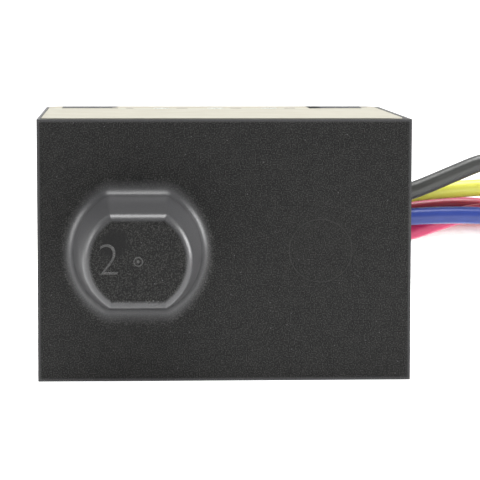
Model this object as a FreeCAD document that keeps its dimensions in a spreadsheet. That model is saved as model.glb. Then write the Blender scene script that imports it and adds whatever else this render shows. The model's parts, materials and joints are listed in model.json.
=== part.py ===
import FreeCAD, Part
import math
import os
import Sketcher

# Hard-wired surge protector: a moulded case with six leads, three varistors with thermal
# disconnect arms, three fuses and an alarm relay on one circuit board.
# Origin: centre of the case's underside. +X towards the leads, -Y towards the stub, +Z up. Millimetres.

doc = FreeCAD.newDocument("surge_protector")

SIZES = {
    "case_width": 75.5,
    "case_depth": 64.0,
    "case_height": 53.0,
    "wall": 3.0,
    "edge_round": 0.7,
    "rabbet_depth": 3.3,
    "rabbet_step": 1.2,
    "stub_x": -17.6,
    "stub_z": 26.4,
    "stub_radius": 13.1,
    "stub_flat": 11.6,
    "stub_reach": 20.5,
    "stub_wall": 2.4,
    "stub_draft": 7.1,
    "stub_foot_round": 3.2,
    "stub_corner_round": 3.0,
    "stub_tip_round": 2.0,
    "witness_x": 19.4,
    "witness_radius": 6.5,
    "witness_line": 0.2,
    "witness_depth": 0.1,
    "post_x": 31.0,
    "post_y": 25.3,
    "post_radius": 3.3,
    "thread_radius": 1.45,
    "plate_thick": 2.5,
    "plate_gap": 0.15,
    "gasket_lip": 2.0,
    "gasket_lobe": 4.3,
    "screw_hole": 1.6,
    "screw_head": 2.8,
    "screw_cone": 1.5,
    "screw_length": 14.0,
    "screw_sink": 0.1,
    "drive_radius": 1.1,
    "drive_depth": 0.9,
    "board_z": 40.0,
    "board_thick": 1.6,
    "board_width": 66.0,
    "board_depth": 54.0,
    "board_notch": 4.4,
    "standoff_x": 20.0,
    "standoff_y": 25.3,
    "standoff_radius": 2.4,
    "board_screw_shank": 1.0,
    "board_screw_head": 2.0,
    "board_screw_length": 6.0,
    "label_left": 36.9,
    "label_right": 36.2,
    "label_half_depth": 31.0,
    "label_corner": 3.0,
    "label_thick": 0.2,
    "lamp_y": 20.0,
    "lamp_pitch": 12.0,
    "lens_radius": 2.0,
    "lens_gap": 0.03,
    "led_radius": 1.5,
    "led_height": 2.2,
    "bushing_y": 11.3,
    "bushing_z": 29.7,
    "bushing_bore": 7.2,
    "bushing_barrel": 8.7,
    "bushing_hole": 8.75,
    "bushing_flange": 10.5,
    "bushing_lip": 9.6,
    "flange_thick": 1.6,
    "first_phase_x": -28.0,
    "phase_pitch": 13.0,
    "varistor_thick": 6.6,
    "varistor_side": 33.0,
    "varistor_z": 5.0,
    "electrode_thick": 0.6,
    "electrode_side": 27.0,
    "tab_width": 6.0,
    "cradle_height": 6.5,
    "pivot_shift": 6.1,
    "pivot_z": 34.0,
    "pivot_radius": 0.75,
    "pivot_bore": 0.8,
    "pivot_length": 14.4,
    "knuckle_radius": 1.5,
    "arm_width": 6.0,
    "arm_thick": 0.8,
    "arm_drop": 17.0,
    "arm_shift": 0.25,
    "foot_height": 1.2,
    "foot_gap": 0.1,
    "ear_gap": 0.4,
    "ear_thick": 1.6,
    "ear_width": 3.2,
    "ear_below_pivot": 1.8,
    "bracket_thick": 0.8,
    "spring_thick": 0.3,
    "spring_width": 3.0,
    "fuse_radius": 2.2,
    "fuse_length": 14.0,
    "fuse_cap_radius": 2.4,
    "fuse_cap_length": 3.0,
    "fuse_z": 44.2,
    "capacitor_length": 13.0,
    "capacitor_thick": 5.0,
    "capacitor_height": 7.5,
    "relay_x": 6.5,
    "relay_y": -17.6,
    "relay_length": 19.0,
    "relay_width": 10.0,
    "relay_base_thick": 1.6,
    "relay_axis_z": 31.5,
    "coil_radius": 4.2,
    "coil_flange": 5.0,
    "coil_length": 11.0,
    "core_radius": 1.6,
    "armature_x": 22.8,
    "armature_pivot_z": 37.4,
    "armature_thick": 1.0,
    "armature_drop": 11.0,
    "armature_width": 8.0,
    "lead_board_x": 26.4,
    "lead_radius": 1.9,
    "core_wire_radius": 1.2,
    "strip_length": 9.0,
    "coil_x": 128.0,
    "coil_y": -15.6,
    "coil_inner": 21.0,
    "coil_outer": 32.8,
    "coil_low_top": 16.0,
    "coil_top": 23.8,
    "row_pitch": 3.9,
    "tie_thick": 0.4,
    "tie_width": 5.0,
    "tie_gap": 0.1,
    "bore_spare": 1.0,
    "spring_gap": 0.25,
    "spring_drop": 6.0,
    "spring_play": 0.1,
    "board_head_thick": 1.4,
    "thread_play": 0.05,
    "screw_spare": 0.5,
    "slot_length": 3.0,
    "slot_width": 0.6,
    "slot_depth": 0.8,
    "head_play": 0.1,
    "cone_angle": 38.0,
    "cut_spare": 1.0,
    "emitter_gap": 0.3,
    "lip_reach": 1.6,
    "lip_thick": 1.5,
    "block_chamfer": 0.6,
    "tab_inset": 4.0,
    "cradle_wall": 1.5,
    "cradle_end": 0.7,
    "relief_play": 0.4,
    "relief_lift": 2.9,
    "fuse_seat": 0.5,
    "fuse_foot": 1.0,
    "capacitor_x": 8.0,
    "capacitor_round": 0.5,
    "yoke_thick": 1.0,
    "yoke_inset": 0.5,
    "yoke_drop": 6.0,
    "yoke_gap": 0.7,
    "core_gap": 1.7,
    "coil_start": 2.2,
    "coil_flange_thick": 0.8,
    "core_play": 0.05,
    "return_spring_thick": 0.25,
    "return_spring_width": 4.0,
    "return_spring_gap": 0.15,
    "contact_thick": 0.4,
    "contact_width": 5.0,
    "contact_gap": 1.6,
    "contact_drop": 4.0,
    "lead_board_width": 17.0,
    "lead_board_drop": 18.0,
    "lead_board_y": 3.0,
    "terminal_length": 1.5,
}

sheet = doc.addObject("Spreadsheet::Sheet", "Sizes")
for row, (alias, value) in enumerate(SIZES.items(), start=1):
    sheet.set(f"A{row}", alias)
    sheet.set(f"B{row}", str(value))
    sheet.setAlias(f"B{row}", alias)
doc.recompute()

nodes = []


def size(alias):
    """One driving dimension from the sheet, as a number."""
    return float(sheet.get(alias))


def formula(text):
    """The same formula with each alias pointing at the sheet."""
    words = []
    for word in text.split():
        words.append(f"Sizes.{word}" if word in SIZES else word)
    return " ".join(words)


def bind(item, prop, text):
    """Ties a property to a formula of the driving dimensions."""
    item.setExpression(prop, formula(text))


def keep(item):
    """Marks a finished object as a sub-part to be written."""
    nodes.append(item)
    return item


# ---- PartDesign helpers -------------------------------------------------------------------------

def new_body(name):
    body = doc.addObject("PartDesign::Body", name)
    body.Label = name
    return body


def new_sketch(body, name, role, across="0", along="0", lift="0"):
    """A sketch on one of the body's origin planes, its own origin moved by three formulas."""
    sketch = body.newObject("Sketcher::SketchObject", name)
    plane = [item for item in body.Origin.OriginFeatures if item.Role == role][0]
    sketch.AttachmentSupport = [(plane, "")]
    sketch.MapMode = "FlatFace"
    bind(sketch, ".AttachmentOffset.Base.x", across)
    bind(sketch, ".AttachmentOffset.Base.y", along)
    bind(sketch, ".AttachmentOffset.Base.z", lift)
    return sketch


def measure(sketch, constraint, name, text):
    """Adds a dimension whose value is a formula."""
    index = sketch.addConstraint(constraint)
    sketch.renameConstraint(index, name)
    bind(sketch, f"Constraints.{name}", text)


def draw_rectangle(sketch, width, height, tag=""):
    """A rectangle centred on the sketch's origin."""
    corners = [(-2, -1), (2, -1), (2, 1), (-2, 1)]
    first = sketch.GeometryCount
    for index, start in enumerate(corners):
        end = corners[(index + 1) % 4]
        sketch.addGeometry(Part.LineSegment(FreeCAD.Vector(*start, 0), FreeCAD.Vector(*end, 0)))
    for index in range(4):
        after = first + (index + 1) % 4
        sketch.addConstraint(Sketcher.Constraint("Coincident", first + index, 2, after, 1))
    for index, direction in enumerate(["Horizontal", "Vertical", "Horizontal", "Vertical"]):
        sketch.addConstraint(Sketcher.Constraint(direction, first + index))
    sketch.addConstraint(Sketcher.Constraint("Symmetric", first, 1, first + 2, 1, -1, 1))
    measure(sketch, Sketcher.Constraint("DistanceX", first, 1, first, 2, 4.0), f"wide{tag}", width)
    measure(sketch, Sketcher.Constraint("DistanceY", first + 1, 1, first + 1, 2, 2.0), f"high{tag}", height)


def draw_circle(sketch, radius, tag=""):
    """A circle centred on the sketch's origin."""
    index = sketch.addGeometry(Part.Circle(FreeCAD.Vector(0, 0, 0), FreeCAD.Vector(0, 0, 1), 1))
    sketch.addConstraint(Sketcher.Constraint("Coincident", index, 3, -1, 1))
    measure(sketch, Sketcher.Constraint("Radius", index, 1.0), f"radius{tag}", radius)


def draw_four_circles(sketch, radius, half_x, half_y):
    """Four equal circles at the corners of a rectangle centred on the sketch's origin."""
    for number, (side_x, side_y) in enumerate([(1, 1), (-1, 1), (-1, -1), (1, -1)]):
        centre = FreeCAD.Vector(20 * side_x, 20 * side_y, 0)
        index = sketch.addGeometry(Part.Circle(centre, FreeCAD.Vector(0, 0, 1), 1))
        measure(sketch, Sketcher.Constraint("Radius", index, 1.0), f"radius{number}", radius)
        spans = [("DistanceX", side_x, f"across{number}", half_x),
                 ("DistanceY", side_y, f"along{number}", half_y)]
        for kind, side, name, text in spans:
            ends = (-1, 1, index, 3) if side > 0 else (index, 3, -1, 1)
            measure(sketch, Sketcher.Constraint(kind, *ends, 20.0), name, text)


def draw_double_d(sketch, radius, flat):
    """A circle cut by two level flats, one above and one below the sketch's origin."""
    reach = math.sqrt(size("stub_radius") ** 2 - size("stub_flat") ** 2)
    angle = math.atan2(size("stub_flat"), reach)
    high = size("stub_flat")
    circle = Part.Circle(FreeCAD.Vector(0, 0, 0), FreeCAD.Vector(0, 0, 1), size("stub_radius"))
    sketch.addGeometry(Part.ArcOfCircle(circle, -angle, angle))
    sketch.addGeometry(Part.LineSegment(FreeCAD.Vector(reach, high, 0), FreeCAD.Vector(-reach, high, 0)))
    sketch.addGeometry(Part.ArcOfCircle(circle, math.pi - angle, math.pi + angle))
    sketch.addGeometry(Part.LineSegment(FreeCAD.Vector(-reach, -high, 0), FreeCAD.Vector(reach, -high, 0)))
    for index in range(4):
        sketch.addConstraint(Sketcher.Constraint("Coincident", index, 2, (index + 1) % 4, 1))
    for arc in (0, 2):
        sketch.addConstraint(Sketcher.Constraint("Coincident", arc, 3, -1, 1))
    measure(sketch, Sketcher.Constraint("Radius", 0, size("stub_radius")), "round", radius)
    sketch.addConstraint(Sketcher.Constraint("Horizontal", 1))
    sketch.addConstraint(Sketcher.Constraint("Horizontal", 3))
    measure(sketch, Sketcher.Constraint("DistanceY", -1, 1, 1, 1, high), "above", flat)
    measure(sketch, Sketcher.Constraint("DistanceY", 3, 1, -1, 1, high), "below", flat)


def add_pad(body, sketch, length, draft="0"):
    """Raises the sketch, its sides leaning in by the draft angle."""
    pad = body.newObject("PartDesign::Pad", f"{sketch.Name}_pad")
    pad.Profile = sketch
    bind(pad, "Length", length)
    bind(pad, "TaperAngle", f"0 - {draft}")
    doc.recompute()
    return pad


def add_pocket(body, sketch, length, backwards=False, draft="0"):
    """Cuts the sketch out of the body, narrowing by the draft angle, and fails if nothing came away."""
    before = body.Shape.Volume
    pocket = body.newObject("PartDesign::Pocket", f"{sketch.Name}_pocket")
    pocket.Profile = sketch
    bind(pocket, "Length", length)
    bind(pocket, "TaperAngle", f"0 - {draft}")
    pocket.Reversed = backwards
    doc.recompute()
    if body.Shape.Volume > before - 1e-4:
        raise RuntimeError(f"{pocket.Name} cuts nothing")
    return pocket


def add_fillet(body, base, radius, chosen):
    """Rounds the edges of the base feature that pass a test on their bounding box."""
    names = []
    for index, edge in enumerate(base.Shape.Edges, start=1):
        if chosen(edge.BoundBox):
            names.append(f"Edge{index}")
    fillet = body.newObject("PartDesign::Fillet", f"{base.Name}_fillet")
    fillet.Base = (base, names)
    bind(fillet, "Radius", radius)
    doc.recompute()
    return fillet


# ---- Part helpers -------------------------------------------------------------------------------

def place(item, spot):
    for axis, text in zip("xyz", spot):
        bind(item, f".Placement.Base.{axis}", text)
    return item


def block(name, lengths, spot):
    """A box from its three lengths and its lowest corner."""
    box = doc.addObject("Part::Box", name)
    box.Label = name
    for prop, text in zip(("Length", "Width", "Height"), lengths):
        bind(box, prop, text)
    return place(box, spot)


TURNS = {
    "x": FreeCAD.Rotation(FreeCAD.Vector(0, 1, 0), 90),
    "y": FreeCAD.Rotation(FreeCAD.Vector(1, 0, 0), -90),
    "z": FreeCAD.Rotation(),
}


def rod(name, radius, length, spot, axis="z"):
    """A cylinder that runs from its spot along +X, +Y or +Z."""
    cylinder = doc.addObject("Part::Cylinder", name)
    cylinder.Label = name
    bind(cylinder, "Radius", radius)
    bind(cylinder, "Height", length)
    cylinder.Placement = FreeCAD.Placement(FreeCAD.Vector(), TURNS[axis])
    return place(cylinder, spot)


def join(name, *parts):
    fused = doc.addObject("Part::MultiFuse", name)
    fused.Label = name
    fused.Shapes = list(parts)
    return fused


def cut(name, base, *tools):
    """The base with every tool taken away."""
    tool = tools[0] if len(tools) == 1 else join(f"{name}_tools", *tools)
    result = doc.addObject("Part::Cut", name)
    result.Label = name
    result.Base = base
    result.Tool = tool
    return result


# ---- Case ---------------------------------------------------------------------------------------

LAMP_OFFSETS = ["0 - lamp_pitch", "0", "lamp_pitch"]
SCREW_SIDES = [(1, 1), (-1, 1), (-1, -1), (1, -1)]


def make_housing_shell():
    body = new_body("housing_shell")
    outline = new_sketch(body, "case_outline", "XY_Plane")
    draw_rectangle(outline, "case_width", "case_depth")
    case = add_pad(body, outline, "case_height")
    case = add_fillet(body, case, "edge_round", lambda box: box.ZMax > 1.0)

    stub = new_sketch(body, "stub_outline", "XZ_Plane", "stub_x", "stub_z", "case_depth / 2")
    draw_double_d(stub, "stub_radius", "stub_flat")
    stub_pad = add_pad(body, stub, "stub_reach", "stub_draft")
    front = -size("case_depth") / 2
    tip = front - size("stub_reach")
    left = size("stub_x") - size("stub_radius") - 1
    right = size("stub_x") + size("stub_radius") + 1
    corner_round = add_fillet(body, stub_pad, "stub_corner_round",
                              lambda box: box.YMin < tip + 0.01 and box.YMax > front - 0.01)
    tip_round = add_fillet(body, corner_round, "stub_tip_round",
                           lambda box: box.YMin < tip + 0.01 and box.YMax < tip + 0.2)

    def at_foot(box):
        flat = abs(box.YMin - front) < 0.05 and abs(box.YMax - front) < 0.05
        return flat and box.XMin > left and box.XMax < right

    add_fillet(body, tip_round, "stub_foot_round", at_foot)

    ring = new_sketch(body, "witness_ring", "XZ_Plane", "witness_x", "stub_z", "case_depth / 2")
    draw_circle(ring, "witness_radius", "_outer")
    draw_circle(ring, "witness_radius - witness_line", "_inner")
    add_pocket(body, ring, "witness_depth")

    cavity = new_sketch(body, "cavity", "XY_Plane")
    draw_rectangle(cavity, "case_width - 2 * wall", "case_depth - 2 * wall")
    add_pocket(body, cavity, "case_height - wall", backwards=True)

    rabbet = new_sketch(body, "rabbet", "XY_Plane")
    draw_rectangle(rabbet, "case_width - 2 * wall + 2 * rabbet_step",
                   "case_depth - 2 * wall + 2 * rabbet_step")
    add_pocket(body, rabbet, "rabbet_depth", backwards=True)

    core = new_sketch(body, "stub_core", "XZ_Plane", "stub_x", "stub_z", "case_depth / 2 - wall - cut_spare")
    draw_double_d(core, "stub_radius - stub_wall", "stub_flat - stub_wall")
    add_pocket(body, core, "stub_reach + wall + cut_spare - stub_wall", backwards=True, draft="stub_draft")

    posts = new_sketch(body, "posts", "XY_Plane", lift="rabbet_depth")
    draw_four_circles(posts, "post_radius", "post_x", "post_y")
    add_pad(body, posts, "case_height - rabbet_depth - wall / 2")
    post_holes = new_sketch(body, "post_holes", "XY_Plane", lift="rabbet_depth")
    draw_four_circles(post_holes, "thread_radius", "post_x", "post_y")
    add_pocket(body, post_holes, "screw_length", backwards=True)

    standoffs = new_sketch(body, "standoffs", "XY_Plane", lift="board_z + board_thick")
    draw_four_circles(standoffs, "standoff_radius", "standoff_x", "standoff_y")
    add_pad(body, standoffs, "case_height - wall / 2 - board_z - board_thick")
    pilots = new_sketch(body, "standoff_holes", "XY_Plane", lift="board_z + board_thick")
    draw_four_circles(pilots, "board_screw_shank", "standoff_x", "standoff_y")
    add_pocket(body, pilots, "board_screw_length", backwards=True)

    exit_hole = new_sketch(body, "exit_hole", "YZ_Plane", "bushing_y", "bushing_z",
                           "case_width / 2 + cut_spare")
    draw_circle(exit_hole, "bushing_hole")
    add_pocket(body, exit_hole, "wall + 2 * cut_spare")

    for number, offset in enumerate(LAMP_OFFSETS):
        window = new_sketch(body, f"lamp_window_{number + 1}", "XY_Plane", offset, "lamp_y",
                            "case_height + cut_spare")
        draw_circle(window, "lens_radius + lens_gap")
        add_pocket(body, window, "wall + 2 * cut_spare")
    return keep(body)


def make_base_plate():
    body = new_body("base_plate")
    outline = new_sketch(body, "plate_outline", "XY_Plane")
    draw_rectangle(outline, "case_width - 2 * wall + 2 * rabbet_step - 2 * plate_gap",
                   "case_depth - 2 * wall + 2 * rabbet_step - 2 * plate_gap")
    add_pad(body, outline, "plate_thick")
    holes = new_sketch(body, "plate_holes", "XY_Plane")
    draw_four_circles(holes, "screw_head + head_play", "post_x", "post_y")
    add_pocket(body, holes, "screw_cone + screw_sink", backwards=True, draft="cone_angle")
    through = new_sketch(body, "plate_through_holes", "XY_Plane")
    draw_four_circles(through, "screw_hole", "post_x", "post_y")
    add_pocket(body, through, "plate_thick + cut_spare", backwards=True)
    return keep(body)


def make_base_gasket():
    body = new_body("base_gasket")
    outline = new_sketch(body, "gasket_outline", "XY_Plane", lift="plate_thick")
    draw_rectangle(outline, "case_width - 2 * wall + 2 * rabbet_step - 4 * plate_gap",
                   "case_depth - 2 * wall + 2 * rabbet_step - 4 * plate_gap")
    add_pad(body, outline, "rabbet_depth - plate_thick")
    opening = new_sketch(body, "gasket_opening", "XY_Plane", lift="plate_thick")
    draw_rectangle(opening, "case_width - 2 * wall - 2 * gasket_lip", "case_depth - 2 * wall - 2 * gasket_lip")
    add_pocket(body, opening, "rabbet_depth - plate_thick", backwards=True)
    lobes = new_sketch(body, "gasket_lobes", "XY_Plane", lift="plate_thick")
    draw_four_circles(lobes, "gasket_lobe", "post_x", "post_y")
    add_pad(body, lobes, "rabbet_depth - plate_thick")
    holes = new_sketch(body, "gasket_holes", "XY_Plane", lift="plate_thick")
    draw_four_circles(holes, "screw_hole", "post_x", "post_y")
    add_pocket(body, holes, "rabbet_depth - plate_thick", backwards=True)
    return keep(body)


def make_base_screws():
    """Countersunk screws, flush with the underside of the base plate."""
    for number, (side_x, side_y) in enumerate(SCREW_SIDES, start=1):
        name = f"base_screw_{number}"
        spot_x = f"{side_x} * post_x"
        spot_y = f"{side_y} * post_y"
        head = doc.addObject("Part::Cone", f"{name}_head")
        bind(head, "Radius1", "screw_head")
        bind(head, "Radius2", "thread_radius - thread_play")
        bind(head, "Height", "screw_cone")
        place(head, (spot_x, spot_y, "screw_sink"))
        shank = rod(f"{name}_shank", "thread_radius - thread_play", "screw_length",
                    (spot_x, spot_y, "screw_sink"))
        drive = doc.addObject("Part::Prism", f"{name}_drive")
        drive.Polygon = 6
        bind(drive, "Circumradius", "drive_radius")
        bind(drive, "Height", "drive_depth + screw_sink")
        place(drive, (spot_x, spot_y, "0"))
        keep(cut(name, join(f"{name}_solid", head, shank), drive))


def make_top_label():
    body = new_body("top_label")
    outline = new_sketch(body, "label_outline", "XY_Plane", "( label_right - label_left ) / 2", "0",
                         "case_height")
    draw_rectangle(outline, "label_left + label_right", "2 * label_half_depth")
    pad = add_pad(body, outline, "label_thick")
    add_fillet(body, pad, "label_corner", lambda box: box.XLength + box.YLength < 0.01)
    for number, offset in enumerate(LAMP_OFFSETS):
        window = new_sketch(body, f"label_window_{number + 1}", "XY_Plane", offset, "lamp_y",
                            "case_height - cut_spare")
        draw_circle(window, "lens_radius + lens_gap")
        add_pocket(body, window, "label_thick + 2 * cut_spare", backwards=True)
    return keep(body)


def make_lamps():
    """Each lamp is a lens through the case's top and a light emitter on the board below it."""
    emitters = []
    for number, offset in enumerate(LAMP_OFFSETS, start=1):
        top_of_emitter = "board_z + board_thick + led_height"
        lens = rod(f"light_pipe_{number}", "lens_radius", f"case_height + label_thick - board_z"
                   " - board_thick - led_height - emitter_gap",
                   (offset, "lamp_y", f"{top_of_emitter} + emitter_gap"))
        keep(lens)
        emitters.append(rod(f"emitter_{number}", "led_radius", "led_height",
                            (offset, "lamp_y", "board_z + board_thick")))
    keep(join("status_lamps", *emitters))


def make_lead_bushing():
    """A snap-in ring: flange outside the wall, barrel in the hole, lip inside the wall."""
    start = "case_width / 2 - wall - lip_reach"
    barrel = rod("bushing_barrel_rod", "bushing_barrel", "wall + lip_reach + flange_thick",
                 (start, "bushing_y", "bushing_z"), "x")
    flange = rod("bushing_flange_rod", "bushing_flange", "flange_thick",
                 ("case_width / 2", "bushing_y", "bushing_z"), "x")
    lip = rod("bushing_lip_rod", "bushing_lip", "lip_thick", (start, "bushing_y", "bushing_z"), "x")
    bore = rod("bushing_bore_rod", "bushing_bore", "wall + lip_reach + flange_thick + 2 * cut_spare",
               (f"{start} - cut_spare", "bushing_y", "bushing_z"), "x")
    return keep(cut("lead_bushing", join("bushing_solid", barrel, flange, lip), bore))


# ---- Circuit board and what is on it ------------------------------------------------------------

def make_circuit_board():
    body = new_body("circuit_board")
    outline = new_sketch(body, "board_outline", "XY_Plane", lift="board_z")
    draw_rectangle(outline, "board_width", "board_depth")
    add_pad(body, outline, "board_thick")
    notches = new_sketch(body, "board_notches", "XY_Plane", lift="board_z")
    draw_four_circles(notches, "board_notch", "post_x", "post_y")
    add_pocket(body, notches, "board_thick", backwards=True)
    holes = new_sketch(body, "board_holes", "XY_Plane", lift="board_z")
    draw_four_circles(holes, "board_screw_shank + head_play", "standoff_x", "standoff_y")
    add_pocket(body, holes, "board_thick", backwards=True)
    return keep(body)


def make_board_screws():
    """Pan-head screws driven up through the board into the standoffs."""
    screws = []
    for number, (side_x, side_y) in enumerate(SCREW_SIDES, start=1):
        name = f"pan_screw_{number}"
        spot_x = f"{side_x} * standoff_x"
        spot_y = f"{side_y} * standoff_y"
        head = rod(f"{name}_head", "board_screw_head", "board_head_thick",
                   (spot_x, spot_y, "board_z - board_head_thick"))
        shank = rod(f"{name}_shank", "board_screw_shank - thread_play",
                    "board_thick + board_screw_length - screw_spare",
                    (spot_x, spot_y, "board_z"))
        slot = block(f"{name}_slot", ("slot_length", "slot_width", "slot_depth"),
                     (f"{spot_x} - slot_length / 2", f"{spot_y} - slot_width / 2",
                      "board_z - board_head_thick"))
        screws.append(cut(name, join(f"{name}_solid", head, shank), slot))
    keep(join("board_screws", *screws))


def make_varistor(number, centre):
    """A square ceramic block with a sheet electrode on each side and a tab up to the board."""
    half = "varistor_thick / 2"
    varistor = block(f"varistor_{number}", ("varistor_thick", "varistor_side", "varistor_side"),
                     (f"{centre} - {half}", "0 - varistor_side / 2", "varistor_z"))
    softened = doc.addObject("Part::Chamfer", f"varistor_block_{number}")
    softened.Base = varistor
    doc.recompute()
    chamfer = size("block_chamfer")
    softened.Edges = [(index + 1, chamfer, chamfer) for index in range(len(varistor.Shape.Edges))]
    varistor.Label = f"varistor_core_{number}"
    softened.Label = f"varistor_{number}"
    keep(softened)
    sides = [("line_electrode", f"{centre} + {half}", "0 - varistor_side / 2 + tab_inset"),
             ("return_electrode", f"{centre} - {half} - electrode_thick",
              "varistor_side / 2 - tab_inset - tab_width")]
    for kind, spot_x, tab_y in sides:
        plate = block(f"{kind}_{number}_plate", ("electrode_thick", "electrode_side", "electrode_side"),
                      (spot_x, "0 - electrode_side / 2", "varistor_z + ( varistor_side - electrode_side ) / 2"))
        low = "varistor_z + varistor_side / 2"
        tab = block(f"{kind}_{number}_tab", ("electrode_thick", "tab_width", f"board_z - ( {low} )"),
                    (spot_x, tab_y, low))
        keep(join(f"{kind}_{number}", plate, tab))


def make_cradle():
    """A ribbed tray on the base plate that holds the three varistors upright."""
    left = "first_phase_x - varistor_thick / 2 - cradle_end"
    tray = block("cradle_tray",
                 ("2 * phase_pitch + varistor_thick + 2 * cradle_wall", "varistor_side + 2 * cradle_wall",
                  "cradle_height"),
                 (left, "0 - varistor_side / 2 - cradle_wall", "plate_thick"))
    slots = []
    for index in range(3):
        slots.append(block(f"cradle_slot_{index + 1}",
                           ("varistor_thick", "varistor_side", "cradle_height"),
                           (f"first_phase_x + {index} * phase_pitch - varistor_thick / 2",
                            "0 - varistor_side / 2", "varistor_z")))
        slots.append(block(f"cradle_relief_{index + 1}",
                           ("varistor_thick + 2 * electrode_thick", "electrode_side + relief_play",
                            "cradle_height"),
                           (f"first_phase_x + {index} * phase_pitch - varistor_thick / 2 - electrode_thick",
                            "0 - electrode_side / 2 - relief_play / 2", "varistor_z + relief_lift")))
    return keep(cut("varistor_cradle", tray, *slots))


def make_disconnect(number, centre):
    """Thermal disconnect: a bracket, a hinge pin, a hanging arm soldered to the electrode, a leaf spring."""
    pivot = f"{centre} + pivot_shift"
    ear_y = "( arm_width / 2 + ear_gap )"
    ear_low = "pivot_z - ear_below_pivot"
    bridge = block(f"bracket_bridge_{number}",
                   ("ear_width", f"2 * ( {ear_y} + ear_thick )", "bracket_thick"),
                   (f"{pivot} - ear_width / 2", f"0 - {ear_y} - ear_thick", "board_z - bracket_thick"))
    ears = []
    for side, start in (("front", f"0 - {ear_y} - ear_thick"), ("rear", ear_y)):
        ears.append(block(f"bracket_ear_{side}_{number}",
                          ("ear_width", "ear_thick", f"board_z - ( {ear_low} )"),
                          (f"{pivot} - ear_width / 2", start, ear_low)))
    bore = rod(f"bracket_bore_{number}", "pivot_bore", "pivot_length + 2 * bore_spare",
               (pivot, "0 - pivot_length / 2 - bore_spare", "pivot_z"), "y")
    keep(cut(f"disconnect_bracket_{number}", join(f"bracket_solid_{number}", bridge, *ears), bore))
    keep(rod(f"hinge_pin_{number}", "pivot_radius", "pivot_length",
             (pivot, "0 - pivot_length / 2", "pivot_z"), "y"))

    knuckle = rod(f"arm_knuckle_{number}", "knuckle_radius", "arm_width",
                  (pivot, "0 - arm_width / 2", "pivot_z"), "y")
    blade = block(f"arm_blade_{number}", ("arm_thick", "arm_width", "arm_drop"),
                  (f"{pivot} + arm_shift - arm_thick / 2", "0 - arm_width / 2", "pivot_z - arm_drop"))
    foot_start = f"{centre} + varistor_thick / 2 + electrode_thick + foot_gap"
    foot = block(f"arm_foot_{number}",
                 ("pivot_shift + arm_shift - varistor_thick / 2 - electrode_thick - foot_gap", "arm_width",
                  "foot_height"),
                 (foot_start, "0 - arm_width / 2", "pivot_z - arm_drop"))
    arm_bore = rod(f"arm_bore_{number}", "pivot_bore", "arm_width + 2 * bore_spare",
                   (pivot, "0 - arm_width / 2 - bore_spare", "pivot_z"), "y")
    keep(cut(f"disconnect_arm_{number}", join(f"arm_solid_{number}", knuckle, blade, foot), arm_bore))

    spring_x = f"{centre} + varistor_thick / 2 + electrode_thick + spring_gap"
    leaf = block(f"spring_leaf_{number}", ("spring_thick", "spring_width", "board_z - pivot_z + spring_drop"),
                 (spring_x, "0 - spring_width / 2", "pivot_z - spring_drop"))
    heel = block(f"spring_heel_{number}",
                 ("pivot_shift + arm_shift - ( arm_thick + varistor_thick ) / 2 - electrode_thick"
                  " - spring_gap - spring_play",
                  "spring_width", "spring_thick"),
                 (spring_x, "0 - spring_width / 2", "pivot_z - spring_drop"))
    keep(join(f"arm_spring_{number}", leaf, heel))


def make_fuse_tube(name, centre):
    return rod(name, "fuse_radius", "fuse_length - 2 * fuse_cap_length + 2 * fuse_seat",
               (centre, "0 - fuse_length / 2 + fuse_cap_length - fuse_seat", "fuse_z"), "y")


def make_fuses(centres):
    """Three cartridge fuses lying on top of the board, each between two end caps on feet."""
    caps = []
    tubes = []
    for number, centre in enumerate(centres, start=1):
        keep(make_fuse_tube(f"fuse_{number}", centre))
        tubes.append(make_fuse_tube(f"fuse_seat_{number}", centre))
        for side, spot_y in (("near", "0 - fuse_length / 2"), ("far", "fuse_length / 2 - fuse_cap_length")):
            cap = rod(f"fuse_cap_{side}_rod_{number}", "fuse_cap_radius", "fuse_cap_length",
                      (centre, spot_y, "fuse_z"), "y")
            foot = block(f"fuse_cap_{side}_foot_{number}",
                         ("fuse_foot", "fuse_cap_length", "fuse_z - board_z - board_thick"),
                         (f"{centre} - fuse_foot / 2", spot_y, "board_z + board_thick"))
            caps.append(join(f"fuse_cap_{side}_{number}", cap, foot))
    keep(cut("fuse_caps", join("fuse_caps_solid", *caps), *tubes))


def make_capacitors():
    for number, spot_y in enumerate(["0 - 12", "0 - 3"], start=1):
        box = block(f"capacitor_core_{number}", ("capacitor_length", "capacitor_thick", "capacitor_height"),
                    ("capacitor_x", spot_y, "board_z + board_thick"))
        rounded = doc.addObject("Part::Fillet", f"filter_capacitor_{number}")
        rounded.Label = f"filter_capacitor_{number}"
        rounded.Base = box
        doc.recompute()
        radius = size("capacitor_round")
        rounded.Edges = [(index + 1, radius, radius) for index in range(len(box.Shape.Edges))]
        keep(rounded)


# ---- Alarm relay --------------------------------------------------------------------------------

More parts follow.
